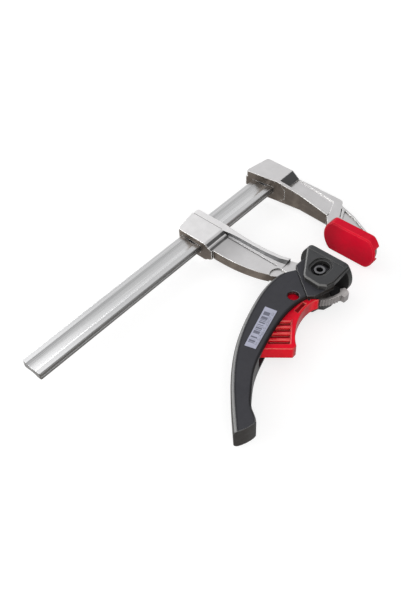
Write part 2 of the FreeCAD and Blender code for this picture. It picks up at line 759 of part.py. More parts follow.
def make_lever_plate():
    """One steel plate of the handle's core, with the spiral slot round the hub."""
    plate = slab(lever_outline_runs(), lever_low, lever_high)
    return solid(plate.cut([cylinder(bush_radius, lever_low, lever_high, hub_x, hub_y),
                            cylinder(trigger_pin_radius, lever_low, lever_high, *trigger_pin),
                            window_cutter(), spiral_slot()]))


def make_head_cheek():
    """The cover on one side of the head, up to the seam, with a rim round the steel plate."""
    seam_top, seam_low = from_hub(seam_top_share), from_hub(seam_low_share)
    run_x, run_y = seam_low[0] - seam_top[0], seam_low[1] - seam_top[1]
    span = hypot(run_x, run_y)
    shift_x, shift_y = -run_y / span * seam_gap, run_x / span * seam_gap
    seam_top = (seam_top[0] + shift_x, seam_top[1] + shift_y)
    seam_low = (seam_low[0] + shift_x, seam_low[1] + shift_y)
    belly = [from_hub(share) for share in head_belly_shares]
    shoulder = from_hub(head_shoulder_share)
    runs = [("line", [seam_low, seam_top, shoulder]),
            ("arc", [shoulder, polar(head_radius, head_shoulder_degrees),
                     polar(head_radius, head_top_degrees)])]
    runs += head_front_runs(0)
    runs += [("line", [polar(head_radius, head_low_degrees), belly[1], belly[0], seam_low])]
    cheek = slab(runs, lever_low, handle_half_height)
    cheek = cheek.cut([slab(lever_outline_runs(), lever_low, lever_high),
                       cylinder(bush_radius, lever_low, handle_half_height, hub_x, hub_y)])
    return solid(cheek)


def make_handle_body():
    """The moulded lever: a channel open on the hollow side, with seats for the steel plates."""
    convex = [from_hub(share) for share in handle_convex_shares]
    concave = [from_hub(share) for share in handle_concave_shares]
    seam_top = from_hub(seam_top_share)
    high = handle_half_height
    outline = [("line", [seam_top, convex[0]]), ("spline", convex),
               ("arc", [convex[-1], from_hub(handle_tail_share), concave[0]]),
               ("spline", concave), ("line", [concave[-1], seam_top])]
    body = slab(outline, -high, high)

    def long_rim(edge, on_rail_side):
        """The long curved edges above and below, on the rail's side or on the hollow side."""
        level = on_level(edge, high) or on_level(edge, -high)
        middle = edge.valueAt((edge.FirstParameter + edge.LastParameter) / 2)
        to_convex = min(hypot(middle.x - x, middle.y - y) for x, y in convex)
        to_concave = min(hypot(middle.x - x, middle.y - y) for x, y in concave)
        return level and edge.Length > handle_length / 2 and (to_convex < to_concave) == on_rail_side

    body = soften(body, handle_convex_radius, lambda edge: long_rim(edge, True))
    body = soften(body, handle_concave_radius, lambda edge: long_rim(edge, False))

    ceiling = [from_hub(share) for share in handle_channel_shares]
    start_x = hub_x - handle_web_start
    far = handle_length
    hollow = [("line", [(start_x, far), (start_x, ceiling[0][1]), ceiling[0]]), ("spline", ceiling),
              ("line", [ceiling[-1], (ceiling[-1][0], -far), (hub_x + far, -far), (hub_x + far, far),
                        (start_x, far)])]
    body = body.cut(slab(hollow, -lever_low, lever_low))
    body = body.cut(both_sides(slab(lever_outline_runs(), lever_low, lever_high)))
    pin_hole = cylinder(trigger_pin_radius, -lever_high, lever_high, *trigger_pin)
    return solid(body.cut([pin_hole, window_cutter()]))


def make_label():
    """The sticker on the handle's upper side."""
    corners = [from_hub(share) for share in label_shares]
    return polygon(corners, handle_half_height, handle_half_height + label_thickness)


def make_trigger_pin():
    return cylinder(trigger_pin_radius, -lever_high, lever_high, *trigger_pin)


def pawl_blank_runs():
    """The pawl's block, which stands on the radius to the hub."""
    outer = tooth_path + pawl_height
    half_angle = degrees(pawl_width / 2 / outer)
    low, high = pawl_degrees - half_angle, pawl_degrees + half_angle
    return [arc_round(tooth_path, high, low), ("line", [polar(tooth_path, low), polar(outer, low)]),
            arc_round(outer, low, high), ("line", [polar(outer, high), polar(tooth_path, high)])]


def pawl_rivet_places():
    radius = tooth_path + pawl_height / 2
    offset = degrees(pawl_rivet_spacing / 2 / radius)
    return [polar(radius, pawl_degrees - offset), polar(radius, pawl_degrees + offset)]


def make_pawl():
    """The steel tooth in the trigger's nose, bevelled on both sides of its tip."""
    half = pawl_half_thickness
    pawl = slab(pawl_blank_runs(), -half, half)
    for side in (-1, 1):
        tip = pawl_degrees + side * degrees(pawl_flat / 2 / tooth_path)
        flank = pawl_degrees + side * degrees(pawl_width / tooth_path)
        pawl = pawl.cut(polygon([polar(tooth_path - tooth_clearance, tip),
                                 polar(tooth_path - tooth_clearance, flank),
                                 polar(tooth_path + pawl_relief, flank)], -half, half))
    return solid(pawl.cut(cylinders(pawl_rivet_radius, -half, half, pawl_rivet_places())))


def make_pawl_rivets():
    half = trigger_half_height
    return Part.makeCompound(cylinders(pawl_rivet_radius, -half, half, pawl_rivet_places()))


def make_release_trigger():
    """The finger lever: a boss on its pin, slots across the grip, a lip and the nose that holds the pawl."""
    half = trigger_half_height
    upper = [from_hub(share) for share in trigger_upper_shares]
    outer = [from_hub(share) for share in trigger_outer_shares]
    end = from_hub(trigger_end_share)
    to_hub = degrees(atan2(hub_y - trigger_pin[1], hub_x - trigger_pin[0]))
    back_degrees = degrees(atan2(trigger_pin[1] - hub_y, trigger_pin[0] - hub_x))
    boss = [polar(trigger_boss_radius, angle, *trigger_pin)
            for angle in (to_hub, trigger_boss_top_degrees, trigger_boss_left_degrees)]
    runs = [("line", [boss[2]] + upper + [end, outer[0]]), ("spline", outer),
            ("line", [outer[-1], polar(tooth_path, trigger_nose_degrees)]),
            arc_round(tooth_path, trigger_nose_degrees, back_degrees),
            ("line", [polar(tooth_path, back_degrees), boss[0]]), ("arc", boss)]
    body = slab(runs, -half, half)
    body = soften(body, trigger_end_radius,
                  lambda edge: edge.BoundBox.ZLength > half
                  and hypot(edge.BoundBox.XMin - end[0], edge.BoundBox.YMin - end[1]) < match_tolerance)

    run_x, run_y = upper[-1][0] - end[0], upper[-1][1] - end[1]
    span = hypot(run_x, run_y)
    along_x, along_y = run_x / span, run_y / span
    border = [from_hub(share) for share in trigger_border_shares]
    field_length = hypot(border[1][0] - border[0][0], border[1][1] - border[0][1])
    slot_width = trigger_slot_width_share * field_length
    reach_x, reach_y = along_x * trigger_slot_length, along_y * trigger_slot_length
    field = polygon(border + [(x + reach_x, y + reach_y) for x, y in reversed(border)],
                    half - trigger_slot_depth, half)
    for index in range(trigger_slots):
        near = (trigger_lip_share + index * trigger_slot_pitch_share) * field_length
        strip = []
        far = near + slot_width
        for reach, away in ((-span, near), (span, near), (span, far), (-span, far)):
            strip.append((end[0] + along_x * reach + along_y * away,
                          end[1] + along_y * reach - along_x * away))
        body = body.cut(both_sides(field.common(polygon(strip, 0, half))))
    pocket = polygon([from_hub(share) for share in trigger_pocket_shares], half - trigger_pocket_depth, half)
    body = body.cut(both_sides(pocket))

    return solid(body.cut([cylinder(trigger_pin_radius + running_clearance, -half, half, *trigger_pin),
                           slab(pawl_blank_runs(), -pawl_half_thickness, pawl_half_thickness)]
                          + cylinders(pawl_rivet_radius, -half, half, pawl_rivet_places())))


def make_trigger_spring():
    """The hidden spring's outer form, between the handle's back and the trigger."""
    x, low = from_hub((spring_x_share, spring_low_share))
    high = from_hub((spring_x_share, spring_high_share))[1]
    tube = Part.makeCylinder(spring_radius, high - low, V(x, low, 0), V(0, 1, 0))
    return tube.cut(Part.makeCylinder(spring_radius - spring_wire, high - low, V(x, low, 0), V(0, 1, 0)))


def travel_slot(half_width, low, high):
    """Room round the rivet for the whole travel of the slide and the plate."""
    back, ahead = hub_x - advance - travel_clearance, hub_x + retreat + travel_clearance
    ends = [cylinder(half_width, low, high, x, hub_y) for x in (back, ahead)]
    return box(back, ahead, hub_y - half_width, hub_y + half_width, low, high).fuse(ends)


def make_thrust_slide():
    """Two slotted bars over the arm's tongue, joined in front by the bridge for the plate's pin."""
    rear, front = hub_x - yoke_rear_reach, plate_pin_x
    low, high = hub_y - yoke_half_width, hub_y + yoke_half_width
    corner = yoke_rear_corner
    bar = polygon([(rear, low + corner), (rear + corner, low), (front, low), (front, high),
                   (rear + corner, high), (rear, high - corner)], yoke_low, yoke_high)
    bridge = box(front - bridge_length, front, low, high, -yoke_high, yoke_high)
    nose = cylinder(bridge_nose_radius, -yoke_high, yoke_high, front, hub_y)
    slide = bridge.fuse(both_sides(bar) + [nose])
    return solid(slide.cut([travel_slot(hub_pin_radius + running_clearance, -yoke_high, yoke_high),
                            cylinder(plate_pin_radius, -yoke_high, yoke_high, front, hub_y),
                            cylinder(stud_radius, -yoke_high, yoke_high, hub_x - stud_reach, hub_y)]))


def make_thrust_studs():
    """Two short studs in the slide that run in the spiral slots."""
    stud = cylinder(stud_radius, yoke_low, lever_high - layer_gap, hub_x - stud_reach, hub_y)
    return Part.makeCompound(both_sides(stud))


def make_plate_pin():
    return cylinder(plate_pin_radius, -plate_pin_half_length, plate_pin_half_length, plate_pin_x, hub_y)


def make_pressure_plate():
    """The clamping slab, with a cheek above and one below the head."""
    block = pad_block(plate_half_length, pad_half_height, pad_corner_radius, plate_centre_y,
                      plate_back_x, plate_face_x)
    block = bevel(block, plate_edge, lambda edge: at_x(edge, plate_face_x))
    outline = [(plate_face_x - depth * plate_cheek_reach, side * plate_cheek_reach)
               for depth, side in plate_cheek_shares]
    cheek = bevel(polygon(outline, cheek_low, cheek_high), plate_edge,
                  lambda edge: on_level(edge, cheek_high)
                  and edge.BoundBox.XMin < plate_back_x - plate_slab / 2)
    plate = block.fuse(both_sides(cheek))

    half_width = hub_head_radius + travel_clearance
    half_width += sin(radians(swivel_degrees)) * (plate_pin_x - hub_x + retreat)
    plate = plate.cut(both_sides(travel_slot(half_width, cheek_low, cheek_high)))
    plate = plate.cut(both_sides(travel_slot(half_width + plate_recess_margin,
                                             cheek_high - plate_recess_depth, cheek_high)))
    room_half = yoke_half_width + 2 * travel_clearance
    room_high = yoke_high + travel_clearance
    room = box(plate_back_x, plate_pin_x + bridge_nose_radius + travel_clearance, hub_y - room_half,
               hub_y + room_half, -room_high, room_high)
    bore = cylinder(plate_pin_radius + running_clearance, -plate_pin_half_length, plate_pin_half_length,
                    plate_pin_x, hub_y)
    return solid(plate.cut([room, bore]))


outer_grip_place, inner_grip_place = grip_pin_places()
upper_cheek, lower_cheek = both_sides(make_head_cheek())
upper_plate, lower_plate = both_sides(make_lever_plate())
parts = {
    "rail": make_rail(),
    "fixed_arm": make_fixed_arm(),
    "fixed_arm_pins": make_fixed_arm_pins(),
    "protective_cap": make_protective_cap(),
    "sliding_arm": make_sliding_arm(),
    "outer_grip_pin": make_grip_pin(outer_grip_place),
    "inner_grip_pin": make_grip_pin(inner_grip_place),
    "ratchet_sector": make_ratchet_sector(),
    "sector_rivets": make_sector_rivets(),
    "pivot_rivet": make_pivot_rivet(),
    "handle_body": make_handle_body(),
    "upper_head_cheek": upper_cheek,
    "lower_head_cheek": lower_cheek,
    "upper_lever_plate": upper_plate,
    "lower_lever_plate": lower_plate,
    "head_bushes": make_head_bushes(),
    "label": make_label(),
    "trigger_pin": make_trigger_pin(),
    "trigger_spring": make_trigger_spring(),
    "release_trigger": make_release_trigger(),
    "pawl": make_pawl(),
    "pawl_rivets": make_pawl_rivets(),
    "thrust_slide": make_thrust_slide(),
    "thrust_studs": make_thrust_studs(),
    "plate_pin": make_plate_pin(),
    "pressure_plate": make_pressure_plate(),
}

os.makedirs("parts", exist_ok=True)
for name, shape in parts.items():
    shape.exportStep("parts/" + name + ".step")
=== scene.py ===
import logging
import math
from dataclasses import dataclass, field
from enum import Enum
from typing import ClassVar, Union

import bmesh
import bpy
from mathutils import Matrix, Vector


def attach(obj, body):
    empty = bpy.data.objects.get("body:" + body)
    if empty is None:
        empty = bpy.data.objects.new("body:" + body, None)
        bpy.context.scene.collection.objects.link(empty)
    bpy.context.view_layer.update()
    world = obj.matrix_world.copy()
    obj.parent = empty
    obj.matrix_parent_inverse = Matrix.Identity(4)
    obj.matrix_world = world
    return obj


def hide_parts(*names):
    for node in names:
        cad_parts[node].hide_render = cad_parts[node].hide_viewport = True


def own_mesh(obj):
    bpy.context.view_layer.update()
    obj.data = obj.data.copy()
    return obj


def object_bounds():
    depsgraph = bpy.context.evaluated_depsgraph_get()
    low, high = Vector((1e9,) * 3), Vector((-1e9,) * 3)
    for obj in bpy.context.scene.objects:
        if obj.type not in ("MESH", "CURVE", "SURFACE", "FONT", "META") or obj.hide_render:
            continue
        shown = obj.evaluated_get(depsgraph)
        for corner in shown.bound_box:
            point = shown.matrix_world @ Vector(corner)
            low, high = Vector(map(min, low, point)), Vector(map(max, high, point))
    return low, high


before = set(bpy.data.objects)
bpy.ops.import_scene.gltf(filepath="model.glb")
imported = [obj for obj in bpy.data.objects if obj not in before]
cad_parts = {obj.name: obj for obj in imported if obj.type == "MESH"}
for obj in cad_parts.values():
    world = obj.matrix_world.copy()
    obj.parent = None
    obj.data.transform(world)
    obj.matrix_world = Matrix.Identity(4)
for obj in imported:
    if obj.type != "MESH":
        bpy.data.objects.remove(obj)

logging.basicConfig(level=logging.INFO, format="%(levelname)s %(message)s")
log = logging.getLogger("bar_clamp")

CAD_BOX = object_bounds()
MM = 0.001
TONES = (0.3, 0.7)  # nearly all of a noise's values lie between these

Colour = tuple[float, float, float]
Span = tuple[float, float]
Wire = bpy.types.NodeSocket
Wires = dict[str, Wire]
Value = Union[float, int, tuple, Wire]

WHITE: Colour = (1.0, 1.0, 1.0)


class Node(Enum):
    """The kinds of shader node that the finishes and effects use, without Blender's common prefix."""

    COORDINATES = "TexCoord"
    MAPPING = "Mapping"
    NOISE = "TexNoise"
    WHITE_NOISE = "TexWhiteNoise"
    SEPARATE = "SeparateXYZ"
    COMBINE = "CombineXYZ"
    MATH = "Math"
    VECTOR_MATH = "VectorMath"
    MIX = "Mix"
    MAP_RANGE = "MapRange"
    BUMP = "Bump"
    BEVEL = "Bevel"
    TURN = "VectorTransform"
    OCCLUSION = "AmbientOcclusion"
    GEOMETRY = "NewGeometry"
    LIGHT_PATH = "LightPath"
    GROUP = "Group"
    PRINCIPLED = "BsdfPrincipled"
    DIFFUSE = "BsdfDiffuse"
    TRANSPARENT = "BsdfTransparent"
    EMISSION = "Emission"
    BACKGROUND = "Background"
    ADD_SHADER = "AddShader"
    MIX_SHADER = "MixShader"
    MATERIAL_OUTPUT = "OutputMaterial"
    WORLD_OUTPUT = "OutputWorld"


class Socket(Enum):
    """The kinds of socket that an effect takes or gives."""

    NUMBER = "NodeSocketFloat"
    VECTOR = "NodeSocketVector"


class Sheet:
    """One node tree, with short ways to place nodes and to join them."""

    per_row: ClassVar[int] = 8
    spacing: ClassVar[Span] = (200.0, 260.0)
    mix_inputs: ClassVar[tuple[int, int, int]] = (0, 6, 7)
    mix_output: ClassVar[int] = 2

    def __init__(self, tree: bpy.types.NodeTree) -> None:
        """Takes an empty tree."""
        self.tree = tree
        self.count = 0

    @classmethod
    def of(cls, owner: bpy.types.Material | bpy.types.World) -> "Sheet":
        """Empties the tree of a material or a world and takes it."""
        owner.use_nodes = True
        owner.node_tree.nodes.clear()
        return cls(owner.node_tree)

    def feed(self, socket: Wire, value: Value) -> None:
        """Joins an input to another node's output, or sets its own value."""
        if isinstance(value, Wire):
            self.tree.links.new(value, socket)
        else:
            socket.default_value = value

    def place(self, kind: Node, inputs: dict | None = None, **settings: object) -> bpy.types.Node:
        """Places one node.

        Args:
            kind: which node.
            inputs: values or outputs for its inputs, by name or by number.
            settings: the node's own choices, such as operation.

        Returns:
            The new node.
        """
        node = self.tree.nodes.new("ShaderNode" + kind.value)
        node.location = (self.spacing[0] * (self.count % self.per_row),
                         -self.spacing[1] * (self.count // self.per_row))
        self.count += 1
        for name, value in settings.items():
            setattr(node, name, value)
        for name, value in (inputs or {}).items():
            self.feed(node.inputs[name], value)
        return node

    def maths(self, operation: str, first: Value, second: Value = 0.0) -> Wire:
        """Works out one number from two by Blender's operation of that name, such as MULTIPLY."""
        return self.place(Node.MATH, {0: first, 1: second}, operation=operation).outputs[0]

    def times(self, first: Value, second: Value) -> Wire:
        """Multiplies two numbers."""
        return self.maths("MULTIPLY", first, second)

    def rest(self, share: Value) -> Wire:
        """Gives what a share leaves of one."""
        return self.maths("SUBTRACT", 1.0, share)

    def total(self, *parts: tuple[Value, float]) -> Wire:
        """Adds up numbers, each times its weight."""
        result, *others = [self.times(value, weight) for value, weight in parts]
        for part in others:
            result = self.maths("ADD", result, part)
        return result

    def between(self, value: Value, low: Value, high: Value, to: Span = (0.0, 1.0),
                smooth: bool = True) -> Wire:
        """Maps a number from one range to another and holds it inside.

        Args:
            value: the number to map.
            low: the start of its range.
            high: the end of its range.
            to: the range that it goes to.
            smooth: eases in and out of the ends.

        Returns:
            The mapped number's socket.
        """
        kind = "SMOOTHSTEP" if smooth else "LINEAR"
        numbers = {"Value": value, "From Min": low, "From Max": high, "To Min": to[0], "To Max": to[1]}
        return self.place(Node.MAP_RANGE, numbers, interpolation_type=kind).outputs["Result"]

    def within(self, value: Value, low: float, high: float) -> Wire:
        """Gives one where a number lies in a range, else nought."""
        return self.times(self.maths("GREATER_THAN", value, low), self.maths("LESS_THAN", value, high))

    def tint(self, share: Value, first: Value, second: Value, mode: str = "MIX") -> Wire:
        """Mixes a share of a second colour into a first one, in Blender's way of that name."""
        node = self.place(Node.MIX, data_type="RGBA", blend_type=mode)
        for number, value in zip(self.mix_inputs, (share, first, second)):
            self.feed(node.inputs[number], (*value, 1.0) if isinstance(value, tuple) else value)
        return node.outputs[self.mix_output]

    def wash(self, shade: Value, mask: Value, strength: float, colour: Value) -> Wire:
        """Lays a colour over another one where a mask says, at most as strongly as given."""
        return self.tint(self.times(mask, strength), shade, colour)

    def vary(self, shade: Value, level: Value) -> Wire:
        """Makes a colour lighter or darker by a number."""
        grey = self.place(Node.COMBINE, {0: level, 1: level, 2: level}).outputs[0]
        return self.tint(1.0, shade, grey, "MULTIPLY")

    def spot(self) -> Wire:
        """Gives the surface point in the piece's own frame."""
        return self.place(Node.COORDINATES).outputs["Object"]

    def axes(self, vector: Value | None = None) -> bpy.types.NodeOutputs:
        """Gives X, Y and Z of a vector, or of the surface point in the piece's own frame."""
        return self.place(Node.SEPARATE, {0: self.spot() if vector is None else vector}).outputs

    def steepness(self, way: Value) -> Wire:
        """Gives one for a direction that points up or down, and nought for a level one."""
        return self.maths("ABSOLUTE", self.axes(way)["Z"])

    def lean(self, first: Value, second: Value) -> Wire:
        """Gives how far one direction leans to another, as their dot product."""
        return self.place(Node.VECTOR_MATH, {0: first, 1: second}, operation="DOT_PRODUCT").outputs["Value"]

    def scale(self, size: Value) -> Wire:
        """Gives the scale at which a noise has a size in mm."""
        return self.maths("DIVIDE", 1.0 / MM, size)

    def noise(self, spot: Value, scale: Value, detail: float, **more: float) -> Wire:
        """Gives a noise of a scale and detail, with more of its inputs by name."""
        return self.place(Node.NOISE, {"Vector": spot, "Scale": scale, "Detail": detail, **more}).outputs[0]


class Effect:
    """A surface effect that several finishes share, made once as a shader node group."""

    title: ClassVar[str] = ""
    takes: ClassVar[dict[str, tuple[Socket, Value]]] = {}
    gives: ClassVar[dict[str, Socket]] = {}

    @classmethod
    def draw(cls, sheet: Sheet, taken: Wires) -> Wires:
        """Draws the effect's nodes.

        Args:
            sheet: the group's own sheet.
            taken: the group's inputs by name.

        Returns:
            The group's outputs by name.
        """
        raise NotImplementedError

    @classmethod
    def group(cls) -> bpy.types.NodeTree:
        """Gives the effect's node group, and makes it the first time."""
        made = bpy.data.node_groups.get(cls.title)
        if made:
            return made
        made = bpy.data.node_groups.new(cls.title, "ShaderNodeTree")
        for name, (kind, value) in cls.takes.items():
            made.interface.new_socket(name=name, in_out="INPUT", socket_type=kind.value).default_value = value
        for name, kind in cls.gives.items():
            made.interface.new_socket(name=name, in_out="OUTPUT", socket_type=kind.value)
        entry = made.nodes.new("NodeGroupInput")
        leave = made.nodes.new("NodeGroupOutput")
        drawn = cls.draw(Sheet(made), {name: entry.outputs[name] for name in cls.takes})
        for name, socket in drawn.items():
            made.links.new(socket, leave.inputs[name])
        return made

    @classmethod
    def on(cls, sheet: Sheet, **values: Value) -> bpy.types.NodeOutputs:
        """Puts the effect in a material with its inputs by name, and gives its outputs."""
        return sheet.place(Node.GROUP, values, node_tree=cls.group()).outputs


class Grain(Effect):
    """A fine skin, as of a sand-blasted mould or a cast surface."""

    title = "fine_grain"
    takes = {"Size": (Socket.NUMBER, 0.5)}
    gives = {"Tone": Socket.NUMBER, "Height": Socket.NUMBER}
    broad_times: ClassVar[float] = 9.0
    fine_share: ClassVar[float] = 0.45

    @classmethod
    def draw(cls, sheet: Sheet, taken: Wires) -> Wires:
        """Two noises, one at the grain's size in mm and one much larger."""
        spot, scale = sheet.spot(), sheet.scale(taken["Size"])
        fine = sheet.noise(spot, scale, 4.0, Roughness=0.6)
        broad = sheet.noise(spot, sheet.maths("DIVIDE", scale, cls.broad_times), 2.0)
        return {"Tone": sheet.total((fine, cls.fine_share), (broad, 1.0 - cls.fine_share)), "Height": fine}


class Streaks(Effect):
    """Long fine lines along X, as drawing or grinding leaves them."""

    title = "drawn_streaks"
    takes = {"Length": (Socket.NUMBER, 60.0), "Width": (Socket.NUMBER, 0.4)}
    gives = {"Tone": Socket.NUMBER, "Height": Socket.NUMBER}
    wide_scale: ClassVar[float] = 0.17
    fine_share: ClassVar[float] = 0.6

    @classmethod
    def draw(cls, sheet: Sheet, taken: Wires) -> Wires:
        """Two noises stretched to the streaks' length and width in mm."""
        across = sheet.scale(taken["Width"])
        size = sheet.place(Node.COMBINE, {0: sheet.scale(taken["Length"]), 1: across, 2: across}).outputs[0]
        place = sheet.place(Node.VECTOR_MATH, {0: sheet.spot(), 1: size}, operation="MULTIPLY").outputs[0]
        fine = sheet.noise(place, 1.0, 3.0, Roughness=0.55)
        wide = sheet.noise(place, cls.wide_scale, 1.0)
        return {"Tone": sheet.total((fine, cls.fine_share), (wide, 1.0 - cls.fine_share)), "Height": fine}


class Walls(Effect):
    """Tells the upright walls of a flat-lying piece from its broad faces."""

    title = "upright_walls"
    takes = {"Start": (Socket.NUMBER, 0.70), "End": (Socket.NUMBER, 0.99)}
    gives = {"Wall": Socket.NUMBER}

    @classmethod
    def draw(cls, sheet: Sheet, taken: Wires) -> Wires:
        """One on a wall, nought on a broad face, from the piece's own surface direction."""
        upward = sheet.steepness(sheet.place(Node.COORDINATES).outputs["Normal"])
        return {"Wall": sheet.between(upward, taken["Start"], taken["End"], (1.0, 0.0))}


class SoftEdges(Effect):
    """Rounds the look of a piece's edges a little and marks where they are."""

    title = "soft_edges"
    takes = {"Radius": (Socket.NUMBER, 0.4 * MM)}
    gives = {"Normal": Socket.VECTOR, "Edge": Socket.NUMBER}
    edge_span: ClassVar[Span] = (0.999, 0.93)

    @classmethod
    def draw(cls, sheet: Sheet, taken: Wires) -> Wires:
        """The rounded direction, and how far it leans from the flat one."""
        rounded = sheet.place(Node.BEVEL, {"Radius": taken["Radius"]}, samples=4).outputs["Normal"]
        lean = sheet.lean(rounded, sheet.place(Node.GEOMETRY).outputs["Normal"])
        return {"Normal": rounded, "Edge": sheet.between(lean, *cls.edge_span)}


class Crevices(Effect):
    """Marks grooves and inner corners, where shade is painted in."""

    title = "crevice_painted_shade"
    takes = {"Reach": (Socket.NUMBER, 1.5 * MM)}
    gives = {"PaintedShade": Socket.NUMBER}
    open_span: ClassVar[Span] = (0.80, 0.30)

    @classmethod
    def draw(cls, sheet: Sheet, taken: Wires) -> Wires:
        """How much of the near space the piece itself shuts off, as the mask of the painted shade."""
        # painted shade: ambient occlusion darkens the grooves and inner corners where shade falls
        near = sheet.place(Node.OCCLUSION, {"Distance": taken["Reach"]}, samples=6, only_local=True)
        return {"PaintedShade": sheet.between(near.outputs["AO"], *cls.open_span)}


class Shoulders(Effect):
    """Tells apart the parts of a flat-lying piece's rounded border for painted light: a painted highlight on
    the side that leans a given way, a painted shade line, and painted shade on the walls that face away.
    """

    title = "shoulder_painted_light"
    takes = {"Facing": (Socket.VECTOR, (0.0, 0.0, 1.0)), "Way": (Socket.VECTOR, (-1.0, 0.3, 0.0))}
    gives = {"PaintedHighlight": Socket.NUMBER, "Line": Socket.NUMBER, "PaintedFarShade": Socket.NUMBER}
    band_spans: ClassVar[tuple[Span, Span]] = ((0.48, 0.72), (0.975, 0.92))
    line_spans: ClassVar[tuple[Span, Span]] = ((0.95, 0.98), (0.9998, 0.997))
    away_span: ClassVar[Span] = (0.99, 0.94)
    lean_span: ClassVar[Span] = (0.05, 0.30)

    @classmethod
    def draw(cls, sheet: Sheet, taken: Wires) -> Wires:
        """The band of the painted highlight, the thin painted shade line where the rounding starts, and the
        walls that face away, for painted shade.
        """
        # painted light: the masks follow the rounded direction's lean to a fixed way
        facing = sheet.place(Node.TURN, {0: taken["Facing"]}, vector_type="NORMAL", convert_from="WORLD",
                             convert_to="OBJECT").outputs[0]
        upward, lean = sheet.steepness(facing), sheet.lean(facing, taken["Way"])
        low, high = cls.lean_span
        band, line = (sheet.times(sheet.between(upward, *rise), sheet.between(upward, *fall))
                      for rise, fall in (cls.band_spans, cls.line_spans))
        away = sheet.times(sheet.between(lean, -low, -high), sheet.between(upward, *cls.away_span))
        return {"PaintedHighlight": sheet.times(band, sheet.between(lean, low, high)), "Line": line, "PaintedFarShade": away}


class Blotches(Effect):
    """Broad faint clouds, as handling, oil and plating leave them."""

    title = "handling_clouds"
    takes = {"Size": (Socket.NUMBER, 18.0)}
    gives = {"Cloud": Socket.NUMBER}
    cloud_span: ClassVar[Span] = (0.35, 0.65)

    @classmethod
    def draw(cls, sheet: Sheet, taken: Wires) -> Wires:
        """A soft noise of the given size in mm."""
        cloud = sheet.noise(sheet.spot(), sheet.scale(taken["Size"]), 3.0, Distortion=0.6)
        return {"Cloud": sheet.between(cloud, *cls.cloud_span)}


class Scuffs(Effect):
    """Short thin scratches that lie two ways, as use leaves them."""

    title = "fine_scuffs"
    takes = {"Spacing": (Socket.NUMBER, 2.0)}
    gives = {"Scuff": Socket.NUMBER}
    slants: ClassVar[Span] = (0.6, -0.4)
    stretch: ClassVar[tuple[float, float, float]] = (0.12, 2.4, 1.0)
    crest_span: ClassVar[Span] = (0.68, 0.76)

    @classmethod
    def draw(cls, sheet: Sheet, taken: Wires) -> Wires:
        """The crests of two long stretched noises that cross at a slant."""
        spot, scale = sheet.spot(), sheet.scale(taken["Spacing"])
        masks = []
        for slant in cls.slants:
            turned = {"Vector": spot, "Rotation": (0.0, 0.0, slant), "Scale": cls.stretch}
            noise = sheet.noise(sheet.place(Node.MAPPING, turned).outputs[0], scale, 1.0)
            masks.append(sheet.between(noise, *cls.crest_span))
        return {"Scuff": sheet.maths("MAXIMUM", *masks)}


@dataclass(frozen=True)
class Finish:
    """The finish of one kind of surface. Each kind draws its own nodes.

    Attributes:
        name: the material's name.
        colour: the surface's own colour, linear.
        roughness: how dull it is.
        edge_mm: how far its edges look rounded.
        wear_and_highlight_colour: the colour that its edges are lightened to, by handling and as a painted
            highlight; some finishes give their scuffs and clouds this colour too.
        edge_wear_and_highlight_share: how strongly its edges are lightened.
        grain_mm: the size of its grain.
        cloud_mm: the size of its faint clouds.
        cloud_share: how strong the clouds are.
        scuff_mm: how far apart its scuffs lie.
        crevice_shade_mm: how wide the painted shade in its corners and grooves is.
        crevice_shade_share: how strong that painted shade is.
        depth_mm: how deep its relief is.
    """

    name: str
    colour: Colour
    roughness: float
    edge_mm: float = 0.35
    wear_and_highlight_colour: Colour = (0.95, 0.94, 0.92)
    edge_wear_and_highlight_share: float = 0.85
    grain_mm: float = 0.35
    cloud_mm: float = 14.0
    cloud_share: float = 0.05
    scuff_mm: float = 2.4
    crevice_shade_mm: float = 1.5
    crevice_shade_share: float = 0.80
    depth_mm: float = 0.05

    def material(self) -> bpy.types.Material:
        """Gives this finish's material, and makes it the first time."""
        made = bpy.data.materials.get(self.name)
        if made:
            return made
        made = bpy.data.materials.new(self.name)
        made.diffuse_color = (*self.colour, 1.0)
        sheet = Sheet.of(made)
        shader = sheet.place(Node.PRINCIPLED)
        sheet.place(Node.MATERIAL_OUTPUT, {"Surface": shader.outputs["BSDF"]})
        self.draw(sheet, shader)
        return made

    def draw(self, sheet: Sheet, shader: bpy.types.Node) -> None:
        """Draws the nodes that feed the shader.

        Args:
            sheet: the material's sheet.
            shader: its Principled BSDF.
        """
        raise NotImplementedError

    def soft_edges(self, sheet: Sheet) -> bpy.types.NodeOutputs:
        """Puts the soft edges of this finish in its material."""
        return SoftEdges.on(sheet, Radius=self.edge_mm * MM)

    def wear_and_crevice_shade(self, sheet: Sheet) -> tuple[Wire, Wire, Wire]:
        """Puts clouds, scuffs and the painted shade of crevices in the material, and gives their masks."""
        return (Blotches.on(sheet, Size=self.cloud_mm)["Cloud"],
                Scuffs.on(sheet, Spacing=self.scuff_mm)["Scuff"],
                Crevices.on(sheet, Reach=self.crevice_shade_mm * MM)["PaintedShade"])

    def dullness(self, sheet: Sheet, tone: Value, less: float, more: float) -> Wire:
        """Gives the roughness, which a tone lowers or raises by at most the given amounts."""
        return sheet.between(tone, *TONES, (self.roughness - less, self.roughness + more))

    def feed_shader(self, sheet: Sheet, shader: bpy.types.Node, shade: Value, rough: Value, height: Value,
                    base: Value) -> None:
        """Feeds the shader.

        Args:
            sheet: the material's sheet.
            shader: its Principled BSDF.
            shade: the surface's colour.
            rough: its roughness.
            height: its relief, from nought to one.
            base: the surface direction that the relief goes on.
        """
        sheet.feed(shader.inputs["Base Color"], shade)
        sheet.feed(shader.inputs["Roughness"], rough)
        numbers = {"Height": height, "Strength": 1.0, "Distance": self.depth_mm * MM, "Normal": base}
        sheet.feed(shader.inputs["Normal"], sheet.place(Node.BUMP, numbers).outputs[0])


